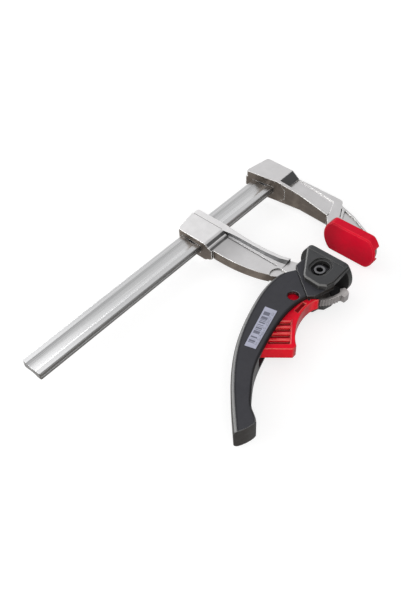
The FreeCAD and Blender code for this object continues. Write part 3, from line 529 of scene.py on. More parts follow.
@dataclass(frozen=True)
class CastMetal(Finish):
    """Die-cast light metal: bright satin broad faces, with painted shade, darker and warmer, on its walls and
    slopes.

    Attributes:
        cloud_colour: the colour of the clouds on broad faces.
        crevice_shade_colour: the colour of the painted shade in corners and grooves.
        wall_shading_colour: the painted shade of the walls.
        wall_shade_patch_colour: the lighter colour of random patches in the walls' painted shade.
        parting_mm: how wide the mould's parting line is on the walls.
        slope_shade_colour: the painted shade of surfaces that slant.
        inner_mm: the space, in X, Y and height, in which walls get their own painted light or shade.
        inner_shading_colour: the walls' painted light or shade there.
        inner_lit: whether that space has no painted crevice shade, or else no painted edge highlights.
        panel_shade_mm: the part of Y over which the sunk panel gets darker, as painted shade.
        panel_shade_share: how much darker it gets.
        panel_shade_colour: the colour of that painted shade.
        crown_colour: the colour of the top of the box.
        crown_mm: the height from which that is.
    """

    wear_and_highlight_colour: Colour = (0.98, 0.97, 0.96)
    grain_mm: float = 0.7
    cloud_mm: float = 22.0
    scuff_mm: float = 3.0
    crevice_shade_mm: float = 1.6
    cloud_colour: Colour = (0.40, 0.39, 0.38)
    crevice_shade_colour: Colour = (0.05, 0.045, 0.04)
    wall_shading_colour: Colour = (0.125, 0.104, 0.088)
    wall_shade_patch_colour: Colour = (0.19, 0.16, 0.135)
    parting_mm: float = 0.35
    slope_shade_colour: Colour = (0.12, 0.12, 0.12)
    inner_mm: tuple[Span, ...] = ((0.0, 0.0), (0.0, 0.0), (0.0, 0.0))
    inner_shading_colour: Colour = (0.80, 0.79, 0.79)
    inner_lit: bool = True
    panel_shade_mm: Span = (40.0, 70.0)
    panel_shade_share: float = 0.0
    panel_shade_colour: Colour = (0.30, 0.295, 0.30)
    crown_colour: Colour = (0.66, 0.65, 0.655)
    crown_mm: float = 5.5

    def draw(self, sheet: Sheet, shader: bpy.types.Node) -> None:
        """Mixes face and painted wall shade by the surface's own direction, then adds grain, clouds, a
        parting line, painted light and shade in set spaces, edges lightened by handling and as a painted
        highlight, and painted shade in crevices.
        """
        grain = Grain.on(sheet, Size=self.grain_mm)
        cloud, scuff, crevice_shade = self.wear_and_crevice_shade(sheet)
        edges = self.soft_edges(sheet)
        wall = Walls.on(sheet, Start=0.76)["Wall"]
        places = sheet.axes()
        level = sheet.maths("ABSOLUTE", places["Z"])
        inner = 1.0
        for place, (low, high) in zip((places["X"], places["Y"], level), self.inner_mm):
            inner = sheet.times(inner, sheet.within(place, low * MM, high * MM))
        edge = edges["Edge"]
        # in the inner space either the painted crevice shade or the painted edge highlight is left out
        if self.inner_lit:
            crevice_shade = sheet.times(crevice_shade, sheet.rest(inner))
        else:
            edge = sheet.times(edge, sheet.rest(inner))
        # the walls' painted shade, lighter in random patches
        skin = sheet.tint(cloud, self.wall_shading_colour, self.wall_shade_patch_colour)
        # painted shade on slanting surfaces
        skin = sheet.tint(Walls.on(sheet, Start=0.25, End=0.5)["Wall"], self.slope_shade_colour, skin)
        # painted light or shade on the walls inside the inner space
        skin = sheet.tint(inner, skin, self.inner_shading_colour)
        crown = sheet.maths("GREATER_THAN", level, self.crown_mm * MM)
        # painted shade over part of the sunk panel's length
        sunk = sheet.times(sheet.between(places["Y"], *(end * MM for end in self.panel_shade_mm)), sheet.rest(crown))
        shade = sheet.tint(crown, self.colour, self.crown_colour)
        shade = sheet.wash(shade, sunk, self.panel_shade_share, self.panel_shade_colour)
        shade = sheet.wash(shade, cloud, self.cloud_share, self.cloud_colour)
        # walls take the painted shade by the surface's direction, then grain varies the tone
        shade = sheet.vary(sheet.tint(wall, shade, skin), sheet.between(grain["Tone"], *TONES, (0.94, 1.04)))
        # edges lightened by handling and as a painted highlight
        shade = sheet.wash(shade, edge, self.edge_wear_and_highlight_share, self.wear_and_highlight_colour)
        # painted shade in grooves and inner corners
        shade = sheet.wash(shade, crevice_shade, self.crevice_shade_share, self.crevice_shade_colour)
        dull = self.dullness(sheet, grain["Tone"], 0.05, 0.06)
        rough = sheet.total((dull, 1.0), (wall, 0.10), (scuff, -0.06))
        shader.inputs["Metallic"].default_value = 1.0
        seam = sheet.between(level, 0.6 * self.parting_mm * MM, 0.2 * self.parting_mm * MM)
        height = sheet.total((grain["Height"], 0.35), (sheet.times(seam, wall), 1.5), (scuff, -0.15))
        self.feed_shader(sheet, shader, shade, rough, height, edges["Normal"])


@dataclass(frozen=True)
class DrawnRail(Finish):
    """Cold-drawn plated steel: fine streaks along its length, and fine teeth and painted shade on its narrow
    edges.

    Attributes:
        cloud_colour: the colour of the clouds.
        streak_mm: the length and width of the streaks.
        wall_shading_colour: the painted shade of the narrow edges.
        tooth_mm: the pitch of the fine teeth.
    """

    wear_and_highlight_colour: Colour = (0.90, 0.90, 0.90)
    edge_wear_and_highlight_share: float = 0.40
    cloud_mm: float = 35.0
    cloud_share: float = 0.08
    cloud_colour: Colour = (0.50, 0.51, 0.53)
    streak_mm: Span = (90.0, 0.55)
    wall_shading_colour: Colour = (0.105, 0.10, 0.092)
    tooth_mm: float = 1.1

    def draw(self, sheet: Sheet, shader: bpy.types.Node) -> None:
        """Streaks in colour, gloss and relief, with teeth and painted shade on the narrow edges and a painted
        highlight on the edges.
        """
        streaks = Streaks.on(sheet, Length=self.streak_mm[0], Width=self.streak_mm[1])
        cloud = Blotches.on(sheet, Size=self.cloud_mm)["Cloud"]
        wall = Walls.on(sheet, Start=0.10, End=0.55)["Wall"]
        edges = self.soft_edges(sheet)
        # painted shade on the narrow edges
        shade = sheet.tint(wall, self.colour, self.wall_shading_colour)
        shade = sheet.vary(shade, sheet.between(streaks["Tone"], 0.32, 0.68, (0.90, 1.06)))
        shade = sheet.wash(shade, cloud, self.cloud_share, self.cloud_colour)
        # edges lightened by handling and as a painted highlight
        shade = sheet.wash(shade, edges["Edge"], self.edge_wear_and_highlight_share, self.wear_and_highlight_colour)
        rough = sheet.total((self.dullness(sheet, streaks["Tone"], 0.03, 0.03), 1.0), (wall, 0.08))
        shader.inputs["Metallic"].default_value = 1.0
        wave = sheet.maths("SINE", sheet.times(sheet.axes()["X"], math.tau / (self.tooth_mm * MM)))
        teeth = sheet.times(wave, sheet.between(wall, 0.7, 1.0))
        height = sheet.total((streaks["Height"], 0.06), (teeth, 1.6))
        self.feed_shader(sheet, shader, shade, rough, height, edges["Normal"])


@dataclass(frozen=True)
class GroundSteel(Finish):
    """Stamped or turned steel with a fine ground surface, edges lightened by handling and as a painted
    highlight, and painted shade on its walls and in crevices.

    Attributes:
        cloud_tone: how bright the clouds are beside the surface.
        scuff_share: how strong the scuffs are.
        wall_shade_tone: how bright the painted shade on its walls is beside its broad faces.
        wall_shade_share: how strongly that shows.
        wall_edge_wear_and_highlight: how much of the edges' lightening, by handling and as a painted
            highlight, is left on walls.
        crevice_shade_colour: the colour of the painted shade in crevices.
    """

    cloud_mm: float = 7.0
    cloud_share: float = 0.35
    scuff_mm: float = 1.5
    crevice_shade_mm: float = 1.2
    crevice_shade_share: float = 0.85
    depth_mm: float = 0.03
    cloud_tone: float = 0.62
    scuff_share: float = 0.25
    wall_shade_tone: float = 0.62
    wall_shade_share: float = 0.90
    wall_edge_wear_and_highlight: float = 0.15
    crevice_shade_colour: Colour = (0.02, 0.018, 0.016)

    def draw(self, sheet: Sheet, shader: bpy.types.Node) -> None:
        """Fine grain and scuffs on plain steel, with painted shade on walls and in crevices, and edges
        lightened by handling and as a painted highlight.
        """
        grain = Grain.on(sheet, Size=self.grain_mm)
        cloud, scuff, crevice_shade = self.wear_and_crevice_shade(sheet)
        edges = self.soft_edges(sheet)
        wall = Walls.on(sheet)["Wall"]
        # the clouds' darker colour, and the walls' painted shade
        dark, side = (tuple(tone * part for part in self.colour)
                      for tone in (self.cloud_tone, self.wall_shade_tone))
        shade = sheet.wash(self.colour, cloud, self.cloud_share, dark)
        # painted shade on the walls
        shade = sheet.wash(shade, wall, self.wall_shade_share, side)
        shade = sheet.wash(shade, scuff, self.scuff_share, self.wear_and_highlight_colour)
        # edges lightened by handling and as a painted highlight, less on walls
        edge_wear_and_highlight = sheet.times(edges["Edge"], sheet.between(wall, 0.0, 1.0, (self.edge_wear_and_highlight_share, self.wall_edge_wear_and_highlight)))
        shade = sheet.tint(edge_wear_and_highlight, shade, self.wear_and_highlight_colour)
        # painted shade in crevices
        shade = sheet.wash(shade, crevice_shade, self.crevice_shade_share, self.crevice_shade_colour)
        rough = self.dullness(sheet, grain["Tone"], 0.06, 0.08)
        shader.inputs["Metallic"].default_value = 1.0
        height = sheet.total((grain["Height"], 0.5), (scuff, -0.4))
        self.feed_shader(sheet, shader, shade, rough, height, edges["Normal"])


@dataclass(frozen=True)
class MouldedPlastic(Finish):
    """Injection-moulded plastic: a fine mould grain, faint clouds, edges lightened by the hand and as a
    painted highlight, and painted light and shade on its walls and rounded border.

    Attributes:
        wall_shading_colour: the colour of its upright walls, lighter or darker than its faces as painted
            light or shade.
        scuff_share: how strong the scuffs are.
        painted_shade_tone: how bright its painted shade is beside the surface.
        gloss: how strongly its skin shines.
        border_highlight_colour: the colour of the painted highlight on the rounded border, on the side that
            leans a given way.
        border_highlight_share: how strong that is.
        shade_line_share: how dark the painted shade line inside the rounded border is.
        far_shade_share: how dark the painted shade on the walls on the far side is.
        floor_shade_mm: the height, from the piece's middle, below which level faces are sunk and get painted
            shade.
        floor_shade_share: how much darker that painted shade makes them.
        end_mm: the place along X beyond which the rounded border of the end gets the painted highlight as
            well.
        end_way: the way that the end faces.
        fade_shade_mm: the part of Y over which the walls get darker, as painted shade.
        fade_shade_share: how much darker they get.
    """

    wear_and_highlight_colour: Colour = (0.12, 0.12, 0.12)
    edge_wear_and_highlight_share: float = 0.70
    cloud_share: float = 0.04
    depth_mm: float = 0.02
    wall_shading_colour: Colour = (0.03, 0.028, 0.026)
    scuff_share: float = 0.05
    painted_shade_tone: float = 0.25
    gloss: float = 0.4
    border_highlight_colour: Colour = (0.26, 0.26, 0.26)
    border_highlight_share: float = 0.0
    shade_line_share: float = 0.0
    far_shade_share: float = 0.0
    floor_shade_mm: float = 0.0
    floor_shade_share: float = 0.8
    end_mm: float = 0.0
    end_way: tuple[float, float, float] = (-0.3, -0.95, 0.0)
    fade_shade_mm: Span = (0.0, 18.0)
    fade_shade_share: float = 0.0

    def draw(self, sheet: Sheet, shader: bpy.types.Node) -> None:
        """Mixes face and wall colours as painted light and shade, then adds mould grain, clouds, scuffs,
        edges lightened by handling and as a painted highlight, and painted shade.
        """
        grain = Grain.on(sheet, Size=self.grain_mm)
        cloud, scuff, crevice_shade = self.wear_and_crevice_shade(sheet)
        edges = self.soft_edges(sheet)
        wall = Walls.on(sheet)["Wall"]
        # painted light or shade on the upright walls
        shade = sheet.tint(wall, self.colour, self.wall_shading_colour)
        shade = sheet.vary(shade, sheet.between(grain["Tone"], *TONES, (0.94, 1.06)))
        # clouds and scuffs, and edges lightened by handling and as a painted highlight
        wear_and_highlights = ((cloud, self.cloud_share), (scuff, self.scuff_share), (edges["Edge"], self.edge_wear_and_highlight_share))
        for mask, share in wear_and_highlights:
            shade = sheet.wash(shade, mask, share, self.wear_and_highlight_colour)
        # the colour of the painted shade
        deep = tuple(self.painted_shade_tone * part for part in self.colour)
        # painted shade on the sunk level faces
        if self.floor_shade_mm:
            low = sheet.maths("LESS_THAN", sheet.maths("ABSOLUTE", sheet.axes()["Z"]), self.floor_shade_mm * MM)
            shade = sheet.wash(shade, sheet.times(low, sheet.rest(wall)), self.floor_shade_share, deep)
        # painted shade, darker along Y, on the walls
        if self.fade_shade_share:
            fade = sheet.times(sheet.between(sheet.axes()["Y"], *(end * MM for end in self.fade_shade_mm)), wall)
            shade = sheet.wash(shade, fade, self.fade_shade_share, deep)
        # painted highlight on the rounded border and painted shade beside it
        if self.border_highlight_share:
            shade = self.paint_border_light(sheet, shade, edges["Normal"], deep)
        # painted shade in grooves and inner corners
        shade = sheet.wash(shade, crevice_shade, self.crevice_shade_share, deep)
        rough = sheet.total((self.dullness(sheet, grain["Tone"], 0.04, 0.06), 1.0), (edges["Edge"], -0.08))
        shader.inputs["Specular IOR Level"].default_value = self.gloss
        self.feed_shader(sheet, shader, shade, rough, grain["Height"], edges["Normal"])

    def paint_border_light(self, sheet: Sheet, shade: Wire, facing: Wire, deep: Colour) -> Wire:
        """Paints a highlight on the rounded border and painted shade on its inner line and its far side.

        Args:
            sheet: the material's sheet.
            shade: the surface's colour.
            facing: its rounded direction.
            deep: the colour of its painted shade.

        Returns:
            The new colour's socket.
        """
        border = Shoulders.on(sheet, Facing=facing)
        highlight = border["PaintedHighlight"]
        if self.end_mm:
            tip = Shoulders.on(sheet, Facing=facing, Way=self.end_way)["PaintedHighlight"]
            tip = sheet.times(tip, sheet.maths("LESS_THAN", sheet.axes()["X"], self.end_mm * MM))
            highlight = sheet.maths("MAXIMUM", highlight, tip)
        # painted shade on the far walls and the inner line, then the painted highlight
        shade = sheet.wash(shade, border["PaintedFarShade"], self.far_shade_share, deep)
        shade = sheet.wash(shade, border["Line"], self.shade_line_share, deep)
        return sheet.wash(shade, highlight, self.border_highlight_share, self.border_highlight_colour)


@dataclass(frozen=True)
class PrintedFilm(Finish):
    """A pale self-adhesive film with a row of plain dark bars and small flecks beside them.

    Attributes:
        start: the middle of the film's upper short side, in mm.
        end: the middle of its lower short side, in mm.
        width_mm: how wide the film is.
        ink: the colour of the bars.
        ink_share: how strongly it covers the film.
        pitch_mm: the width of the thinnest bar.
        group_mm: how far apart the dark groups of bars lie.
        group_share: how much the groups stand out.
        bare_share: how much of the row stays bare.
        margin_mm: the bare strip at both short sides.
        bar_strip: the strip that the bars take up, in widths of the film from its middle.
        fleck_strip: the strip that the flecks take up, likewise.
        fleck_mm: the length and width of a fleck.
    """

    grain_mm: float = 0.5
    depth_mm: float = 0.006
    start: Span = (-90.0, 0.5)
    end: Span = (-123.8, -9.2)
    width_mm: float = 8.0
    ink: Colour = (0.085, 0.09, 0.125)
    ink_share: float = 0.85
    pitch_mm: float = 0.62
    group_mm: float = 4.1
    group_share: float = 0.22
    bare_share: float = 0.42
    margin_mm: float = 2.8
    bar_strip: Span = (-0.40, 0.14)
    fleck_strip: Span = (0.18, 0.44)
    fleck_mm: Span = (0.45, 0.7)

    def draw(self, sheet: Sheet, shader: bpy.types.Node) -> None:
        """Bars from a seeded one-way noise along the film, on part of its width, with flecks beside them."""
        start, end = Vector(self.start), Vector(self.end)
        length, along = (end - start).length, (end - start).normalized()
        places = sheet.axes()
        shifts = [sheet.maths("SUBTRACT", sheet.maths("DIVIDE", places[axis], MM), origin)
                  for axis, origin in zip(("X", "Y"), start)]
        run, side = (sheet.total(*zip(shifts, way)) for way in (along, (-along.y, along.x)))
        bar_strip, fleck_strip = (sheet.within(side, *(edge * self.width_mm for edge in strip))
                                  for strip in (self.bar_strip, self.fleck_strip))
        cell = sheet.maths("FLOOR", sheet.maths("DIVIDE", run, self.pitch_mm))
        chance = sheet.place(Node.WHITE_NOISE, {"W": cell}, noise_dimensions="1D").outputs["Value"]
        swell = sheet.maths("SINE", sheet.times(run, math.tau / self.group_mm))
        dark = sheet.total((chance, 1.0), (swell, self.group_share))
        bars = sheet.maths("GREATER_THAN", dark, self.bare_share)
        rows = {number: sheet.maths("FLOOR", sheet.maths("DIVIDE", way, size))
                for number, (way, size) in enumerate(zip((run, side), self.fleck_mm))}
        spread = {"Vector": sheet.place(Node.COMBINE, rows).outputs[0]}
        fleck = sheet.place(Node.WHITE_NOISE, spread, noise_dimensions="2D").outputs["Value"]
        small = sheet.times(sheet.between(fleck, 0.25, 0.90, (0.0, 0.55)), fleck_strip)
        inked = sheet.maths("ADD", sheet.times(bars, bar_strip), small)
        inside = sheet.within(run, self.margin_mm, length - self.margin_mm)
        grain, edges = Grain.on(sheet, Size=self.grain_mm), self.soft_edges(sheet)
        shade = sheet.vary(self.colour, sheet.between(grain["Tone"], *TONES, (0.92, 1.05)))
        shade = sheet.wash(shade, sheet.times(inside, inked), self.ink_share, self.ink)
        rough = self.dullness(sheet, grain["Tone"], 0.04, 0.05)
        self.feed_shader(sheet, shader, shade, rough, grain["Height"], edges["Normal"])


RAIL_STEEL = DrawnRail("drawn_rail_steel", (0.60, 0.60, 0.605), 0.26, 0.3)
# the arms' wall, slope, inner and panel colours are painted light and shade
SLIDING_CAST = CastMetal("die_cast_sliding_arm", (0.68, 0.67, 0.675), 0.38, 0.8,
                         slope_shade_colour=(0.20, 0.198, 0.20), inner_lit=False, inner_shading_colour=(0.14, 0.14, 0.142),
                         inner_mm=((-56.0, -40.0), (20.0, 76.0), (3.0, 9.0)), panel_shade_share=0.55,
                         crown_colour=(0.80, 0.79, 0.795))
FIXED_CAST = CastMetal("die_cast_fixed_arm", (0.64, 0.63, 0.635), 0.38, 0.8,
                       slope_shade_colour=(0.10, 0.10, 0.101), wall_shading_colour=(0.105, 0.088, 0.075),
                       wall_shade_patch_colour=(0.165, 0.14, 0.118), inner_mm=((17.0, 33.9), (30.0, 70.1), (0.0, 4.6)))
PIN_STEEL = GroundSteel("ground_pin_steel", (0.52, 0.52, 0.53), 0.32, 0.15)
SECTOR_STEEL = GroundSteel("stamped_sector_steel", (0.56, 0.53, 0.52), 0.38, 0.45, wall_shade_tone=0.36)
DARK_RIVET = GroundSteel("blackened_rivet_steel", (0.20, 0.20, 0.21), 0.38, 0.3, (0.42, 0.42, 0.43))
SPRING_WIRE = GroundSteel("bright_spring_wire", (0.50, 0.50, 0.51), 0.28, 0.1)
# the plastics' wall colours, border highlights and shade shares are painted light and shade
CAP_RED = MouldedPlastic("soft_red_cap", (0.64, 0.0, 0.022), 0.40, 0.6, (0.95, 0.10, 0.11),
                         wall_shading_colour=(0.68, 0.0, 0.022), gloss=0.10, fade_shade_share=0.5)
TRIGGER_RED = MouldedPlastic("red_trigger", (0.80, 0.0, 0.020), 0.32, 1.1, (1.0, 0.24, 0.20), depth_mm=0.01,
                             wall_shading_colour=(0.88, 0.0, 0.018), gloss=0.10, border_highlight_colour=(1.0, 0.36, 0.28),
                             border_highlight_share=0.9, far_shade_share=0.6, floor_shade_mm=3.9)
# the beads' lighter red is a painted highlight
BEAD_HIGHLIGHT_RED = MouldedPlastic("red_trigger_bead_painted_highlight", (1.0, 0.10, 0.12), 0.30, 0.2, (1.0, 0.24, 0.24), depth_mm=0.005,
                          wall_shading_colour=(1.0, 0.10, 0.12), gloss=0.3)
HANDLE_BLACK = MouldedPlastic("black_handle", (0.045, 0.045, 0.052), 0.42, 1.1, (0.10, 0.10, 0.10),
                              grain_mm=0.4, depth_mm=0.03, wall_shading_colour=(0.011, 0.008, 0.006), gloss=0.14,
                              border_highlight_share=0.9, shade_line_share=0.75, far_shade_share=0.95, floor_shade_mm=7.0, end_mm=-158.0)
PLATE_BLACK = MouldedPlastic("black_plate", (0.042, 0.043, 0.046), 0.42, 0.6, (0.16, 0.16, 0.155),
                             grain_mm=0.5, depth_mm=0.03, wall_shading_colour=(0.022, 0.022, 0.022), gloss=0.3,
                             border_highlight_colour=(0.18, 0.18, 0.178), border_highlight_share=0.7, shade_line_share=0.3, far_shade_share=0.5)
LABEL_FILM = PrintedFilm("pale_label_film", (0.42, 0.43, 0.54), 0.40, 0.1)


def dress(node: str, finish: Finish) -> bpy.types.Object:
    """Gives one CAD node its finish.

    Args:
        node: the node's name.
        finish: its finish.

    Returns:
        The node's object.
    """
    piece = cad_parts[node]
    if not piece.material_slots:
        piece.data.materials.append(None)
    for place in piece.material_slots:
        place.material = finish.material()
    log.info("dressed %s in %s", node, finish.name)
    return piece


def put(name: str, data: bpy.types.ID) -> bpy.types.Object:
    """Places a mesh, lamp data or camera data in the scene as an object of that name."""
    item = bpy.data.objects.new(name, data)
    bpy.context.scene.collection.objects.link(item)
    return item


def put_mesh(name: str, mesh: bmesh.types.BMesh, paint: bpy.types.Material) -> bpy.types.Object:
    """Places a mesh, which is used up, in the scene with its material."""
    data = bpy.data.meshes.new(name)
    mesh.to_mesh(data)
    mesh.free()
    data.materials.append(paint)
    return put(name, data)


def add_piece(name: str, mesh: bmesh.types.BMesh, body: str, finish: Finish) -> bpy.types.Object:
    """Makes a piece of its own from a mesh and lets it ride on a body.

    Args:
        name: the piece's name.
        mesh: its shape, which is used up.
        body: the body that carries it.
        finish: its finish.

    Returns:
        The new object.
    """
    bmesh.ops.recalc_face_normals(mesh, faces=mesh.faces)
    piece = put_mesh(name, mesh, finish.material())
    for face in piece.data.polygons:
        face.use_smooth = True
    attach(piece, body)
    log.info("built %s on %s", name, body)
    return piece


Dressing = dict[str, tuple[Finish, str]]


@dataclass
class SubAssembly:
    """A group of CAD nodes that are dressed together.

    Attributes:
        finishes: each node's finish and material slot.
    """

    finishes: Dressing = field(default_factory=dict)

    def build(self) -> None:
        """Dresses every node, then adds the pieces that the CAD model leaves out."""
        for node, (finish, slot) in self.finishes.items():
            dress(node, finish)
        self.add_details()

    def add_details(self) -> None:
        """Adds nothing unless a sub-assembly has pieces of its own."""


@dataclass
class RailAndFixedJaw(SubAssembly):
    """The rail, the arm fixed at its end and the soft cap on that arm's pad."""

    finishes: Dressing = field(default_factory=lambda: {
        "rail": (RAIL_STEEL, "rail_steel"),
        "fixed_arm": (FIXED_CAST, "cast_metal"),
        "fixed_arm_pins": (PIN_STEEL, "pin_steel"),
        "protective_cap": (CAP_RED, "cap_red"),
    })


@dataclass
class SlidingJaw(SubAssembly):
    """The sliding arm with its grip pins, toothed sector and tubular rivet."""

    finishes: Dressing = field(default_factory=lambda: {
        "sliding_arm": (SLIDING_CAST, "cast_metal"),
        "outer_grip_pin": (PIN_STEEL, "pin_steel"),
        "inner_grip_pin": (PIN_STEEL, "pin_steel"),
        "ratchet_sector": (SECTOR_STEEL, "sector_steel"),
        "sector_rivets": (PIN_STEEL, "pin_steel"),
        "pivot_rivet": (DARK_RIVET, "rivet_steel"),
    })


@dataclass
class LeverHandle(SubAssembly):
    """The moulded handle, its head and the spring behind the trigger.

    Attributes:
        spring_x: where the spring stands along X.
        spring_low: its end at the trigger, along Y.
        spring_high: its end at the handle's back, along Y.
        coil_radius: the radius of the wire's middle.
        wire_radius: the wire's radius.
        turns: how often the wire goes round.
        end_share: the part of the wire at both ends that doesn't rise.
        steps: the number of steps along the wire.
        round_steps: the number of steps round it.
        pressed_share: the length that is left when the trigger is pressed; not used.
    """

    finishes: Dressing = field(default_factory=lambda: {
        "handle_body": (HANDLE_BLACK, "handle_black"),
        "upper_head_cheek": (HANDLE_BLACK, "handle_black"),
        "lower_head_cheek": (HANDLE_BLACK, "handle_black"),
        "upper_lever_plate": (SECTOR_STEEL, "sector_steel"),
        "lower_lever_plate": (SECTOR_STEEL, "sector_steel"),
        "head_bushes": (PLATE_BLACK, "plate_black"),
        "label": (LABEL_FILM, "label_film"),
        "trigger_pin": (PIN_STEEL, "pin_steel"),
    })
    spring_x: float = -98.0 * MM
    spring_low: float = -0.15 * MM
    spring_high: float = 6.57 * MM
    coil_radius: float = 2.42 * MM
    wire_radius: float = 0.36 * MM
    turns: float = 3.5
    end_share: float = 0.12
    steps: int = 96
    round_steps: int = 10
    pressed_share: float = 0.4

    def add_details(self) -> None:
        """Winds the return spring."""
        axis = Vector((0.0, 1.0, 0.0))
        low, high = self.spring_low + self.wire_radius, self.spring_high - self.wire_radius
        mesh = bmesh.new()
        rings = []
        for step in range(self.steps + 1):
            share = step / self.steps
            angle = math.tau * self.turns * share
            rise = min(max((share - self.end_share) / (1.0 - 2.0 * self.end_share), 0.0), 1.0)
            middle = Vector((self.spring_x + self.coil_radius * math.cos(angle), low + (high - low) * rise,
                             self.coil_radius * math.sin(angle)))
            outward = Vector((math.cos(angle), 0.0, math.sin(angle)))
            ring = []
            for part in range(self.round_steps):
                turn = math.tau * part / self.round_steps
                spot = middle + self.wire_radius * (math.cos(turn) * outward + math.sin(turn) * axis)
                ring.append(mesh.verts.new(spot))
            rings.append(ring)
        for first, second in zip(rings, rings[1:]):
            for part in range(self.round_steps):
                other = (part + 1) % self.round_steps
                mesh.faces.new((first[part], first[other], second[other], second[part]))
        mesh.faces.new(rings[0])
        mesh.faces.new(rings[-1])
        spring = add_piece("trigger_spring_coil", mesh, "handle", SPRING_WIRE)
        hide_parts("trigger_spring")
        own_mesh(spring)


@dataclass
class ReleaseTrigger(SubAssembly):
    """The red trigger and the pawl that it carries.

    Attributes:
        corner: the trigger's corner at its foot, in mm, from which the grip slots are counted.
        border: the two ends of the line on which the grip slots end, in mm.
        slot_way: the way that the grip slots run.
        rib_places: how far each rib between the slots lies from the corner, in mm.
        rib_length: how long the beads on the ribs are, in mm.
        border_gap: how far the bead along the slots' ends keeps from them, in mm.
        overrun: how far that bead goes beyond the line's second end, as a share of the line.
        top: the height of the trigger's side faces, in mm.
        bead_width: the beads' width, in mm.
        bead_height: the beads' height, in mm.
    """

    finishes: Dressing = field(default_factory=lambda: {
        "release_trigger": (TRIGGER_RED, "trigger_red"),
        "pawl": (SECTOR_STEEL, "sector_steel"),
        "pawl_rivets": (PIN_STEEL, "pin_steel"),
    })
    corner: Span = (-104.86, -29.34)
    border: tuple[Span, Span] = ((-103.04, -25.0), (-87.08, -13.8))
    slot_way: Span = (-0.639, 0.769)
    rib_places: tuple[float, ...] = (8.0, 13.2, 18.4, 23.5)
    rib_length: float = 9.5
    border_gap: float = 0.8
    overrun: float = 0.06
    top: float = 4.7
    bead_width: float = 0.8
    bead_height: float = 0.3

    def add_details(self) -> None:
        """Adds the thin beads along the grip slots, in a lighter red that is a painted highlight."""
        mesh = bmesh.new()
        way = Vector(self.slot_way)
        across = Vector((way.y, -way.x))
        start, end = (Vector(spot) - self.border_gap * way for spot in self.border)
        self.add_bead(mesh, start, end + self.overrun * (end - start))
        slant = (end - start).normalized()
        for place in self.rib_places:
            reach = (place - (start - Vector(self.corner)).dot(across)) / slant.dot(across)
            first = start + reach * slant
            self.add_bead(mesh, first, first + self.rib_length * way)
        add_piece("trigger_beads", mesh, "trigger", BEAD_HIGHLIGHT_RED)

    def add_bead(self, mesh: bmesh.types.BMesh, start: Vector, end: Vector) -> None:
        """Adds one bead with a three-sided section to both side faces.

        Args:
            mesh: the mesh that it goes to.
            start: its first end, in mm.
            end: its other end, in mm.
        """
        side = 0.5 * self.bead_width * Vector((start.y - end.y, end.x - start.x)).normalized()
        for sign in (1.0, -1.0):
            low, high = sign * self.top * MM, sign * (self.top + self.bead_height) * MM
            ends = []
            for spot in (start, end):
                feet = [mesh.verts.new((*((spot + shift) * MM), low)) for shift in (side, -side)]
                ends.append((feet[0], mesh.verts.new((*(spot * MM), high)), feet[1]))
            for first, second in ((0, 1), (1, 2), (2, 0)):
                mesh.faces.new((ends[0][first], ends[0][second], ends[1][second], ends[1][first]))
            mesh.faces.new(ends[0])
            mesh.faces.new(ends[1])


@dataclass
class PressureHead(SubAssembly):
    """The slide that the lever plates push and the plate that tilts on it."""

    finishes: Dressing = field(default_factory=lambda: {
        "thrust_slide": (SECTOR_STEEL, "sector_steel"),
        "thrust_studs": (PIN_STEEL, "pin_steel"),
        "plate_pin": (PIN_STEEL, "pin_steel"),
        "pressure_plate": (PLATE_BLACK, "plate_black"),
    })


@dataclass(frozen=True)
class PhotoCamera:
    """The photograph's camera, fitted to the rail, the arms and the jaws.

    Attributes:
        place: where it stands, in metres.
        azimuth: the way that it looks, in degrees, nought along +Y.
        elevation: how far above the horizon it stands, in degrees.
        roll: its turn about its own line of sight, in degrees.
        lens_mm: its focal length.
        sensor_mm: the long side of its sensor.
        clip: the nearest and the farthest distance that it shows, in metres.
    """

    place: tuple[float, float, float] = (-0.33735, -0.1799, 0.3633)
    azimuth: float = -45.17
    elevation: float = 48.49
    roll: float = -3.69
    lens_mm: float = 42.12
    sensor_mm: float = 36.0
    clip: Span = (0.01, 20.0)

    def build(self) -> None:
        """Makes the camera and hands it to the scene."""
        turn, rise, roll = (math.radians(angle) for angle in (self.azimuth, self.elevation, self.roll))
        back = Vector((math.sin(turn) * math.cos(rise), -math.cos(turn) * math.cos(rise), math.sin(rise)))
        level = Vector((math.cos(turn), math.sin(turn), 0.0))
        upright = back.cross(level)
        right = math.cos(roll) * level + math.sin(roll) * upright
        upward = -math.sin(roll) * level + math.cos(roll) * upright
        data = bpy.data.cameras.new("photo_camera")
        data.lens = self.lens_mm
        data.sensor_width = self.sensor_mm
        data.clip_start, data.clip_end = self.clip
        camera = put("photo_camera", data)
        rows = Matrix((right, upward, back)).transposed().to_4x4()
        camera.matrix_world = Matrix.Translation(self.place) @ rows
        bpy.context.scene.camera = camera
        log.info("camera at %s", self.place)


@dataclass(frozen=True)
class SoftLamp:
    """One large soft lamp.

    Attributes:
        name: its name.
        place: where it stands, in metres.
        size: its width and height, in metres.
        power: its power in watts.
        colour: its colour.
    """

    name: str
    place: tuple[float, float, float]
    size: Span
    power: float
    colour: Colour = WHITE

    def build(self, aim: Vector) -> None:
        """Makes the lamp and aims it.

        Args:
            aim: the point that it looks at.
        """
        data = bpy.data.lights.new(self.name, "AREA")
        data.shape = "RECTANGLE"
        data.size, data.size_y = self.size
        data.energy = self.power
        data.color = self.colour
        lamp = put(self.name, data)
        lamp.location = self.place
        lamp.rotation_mode = "QUATERNION"
        lamp.rotation_quaternion = (aim - Vector(self.place)).to_track_quat("-Z", "Y")


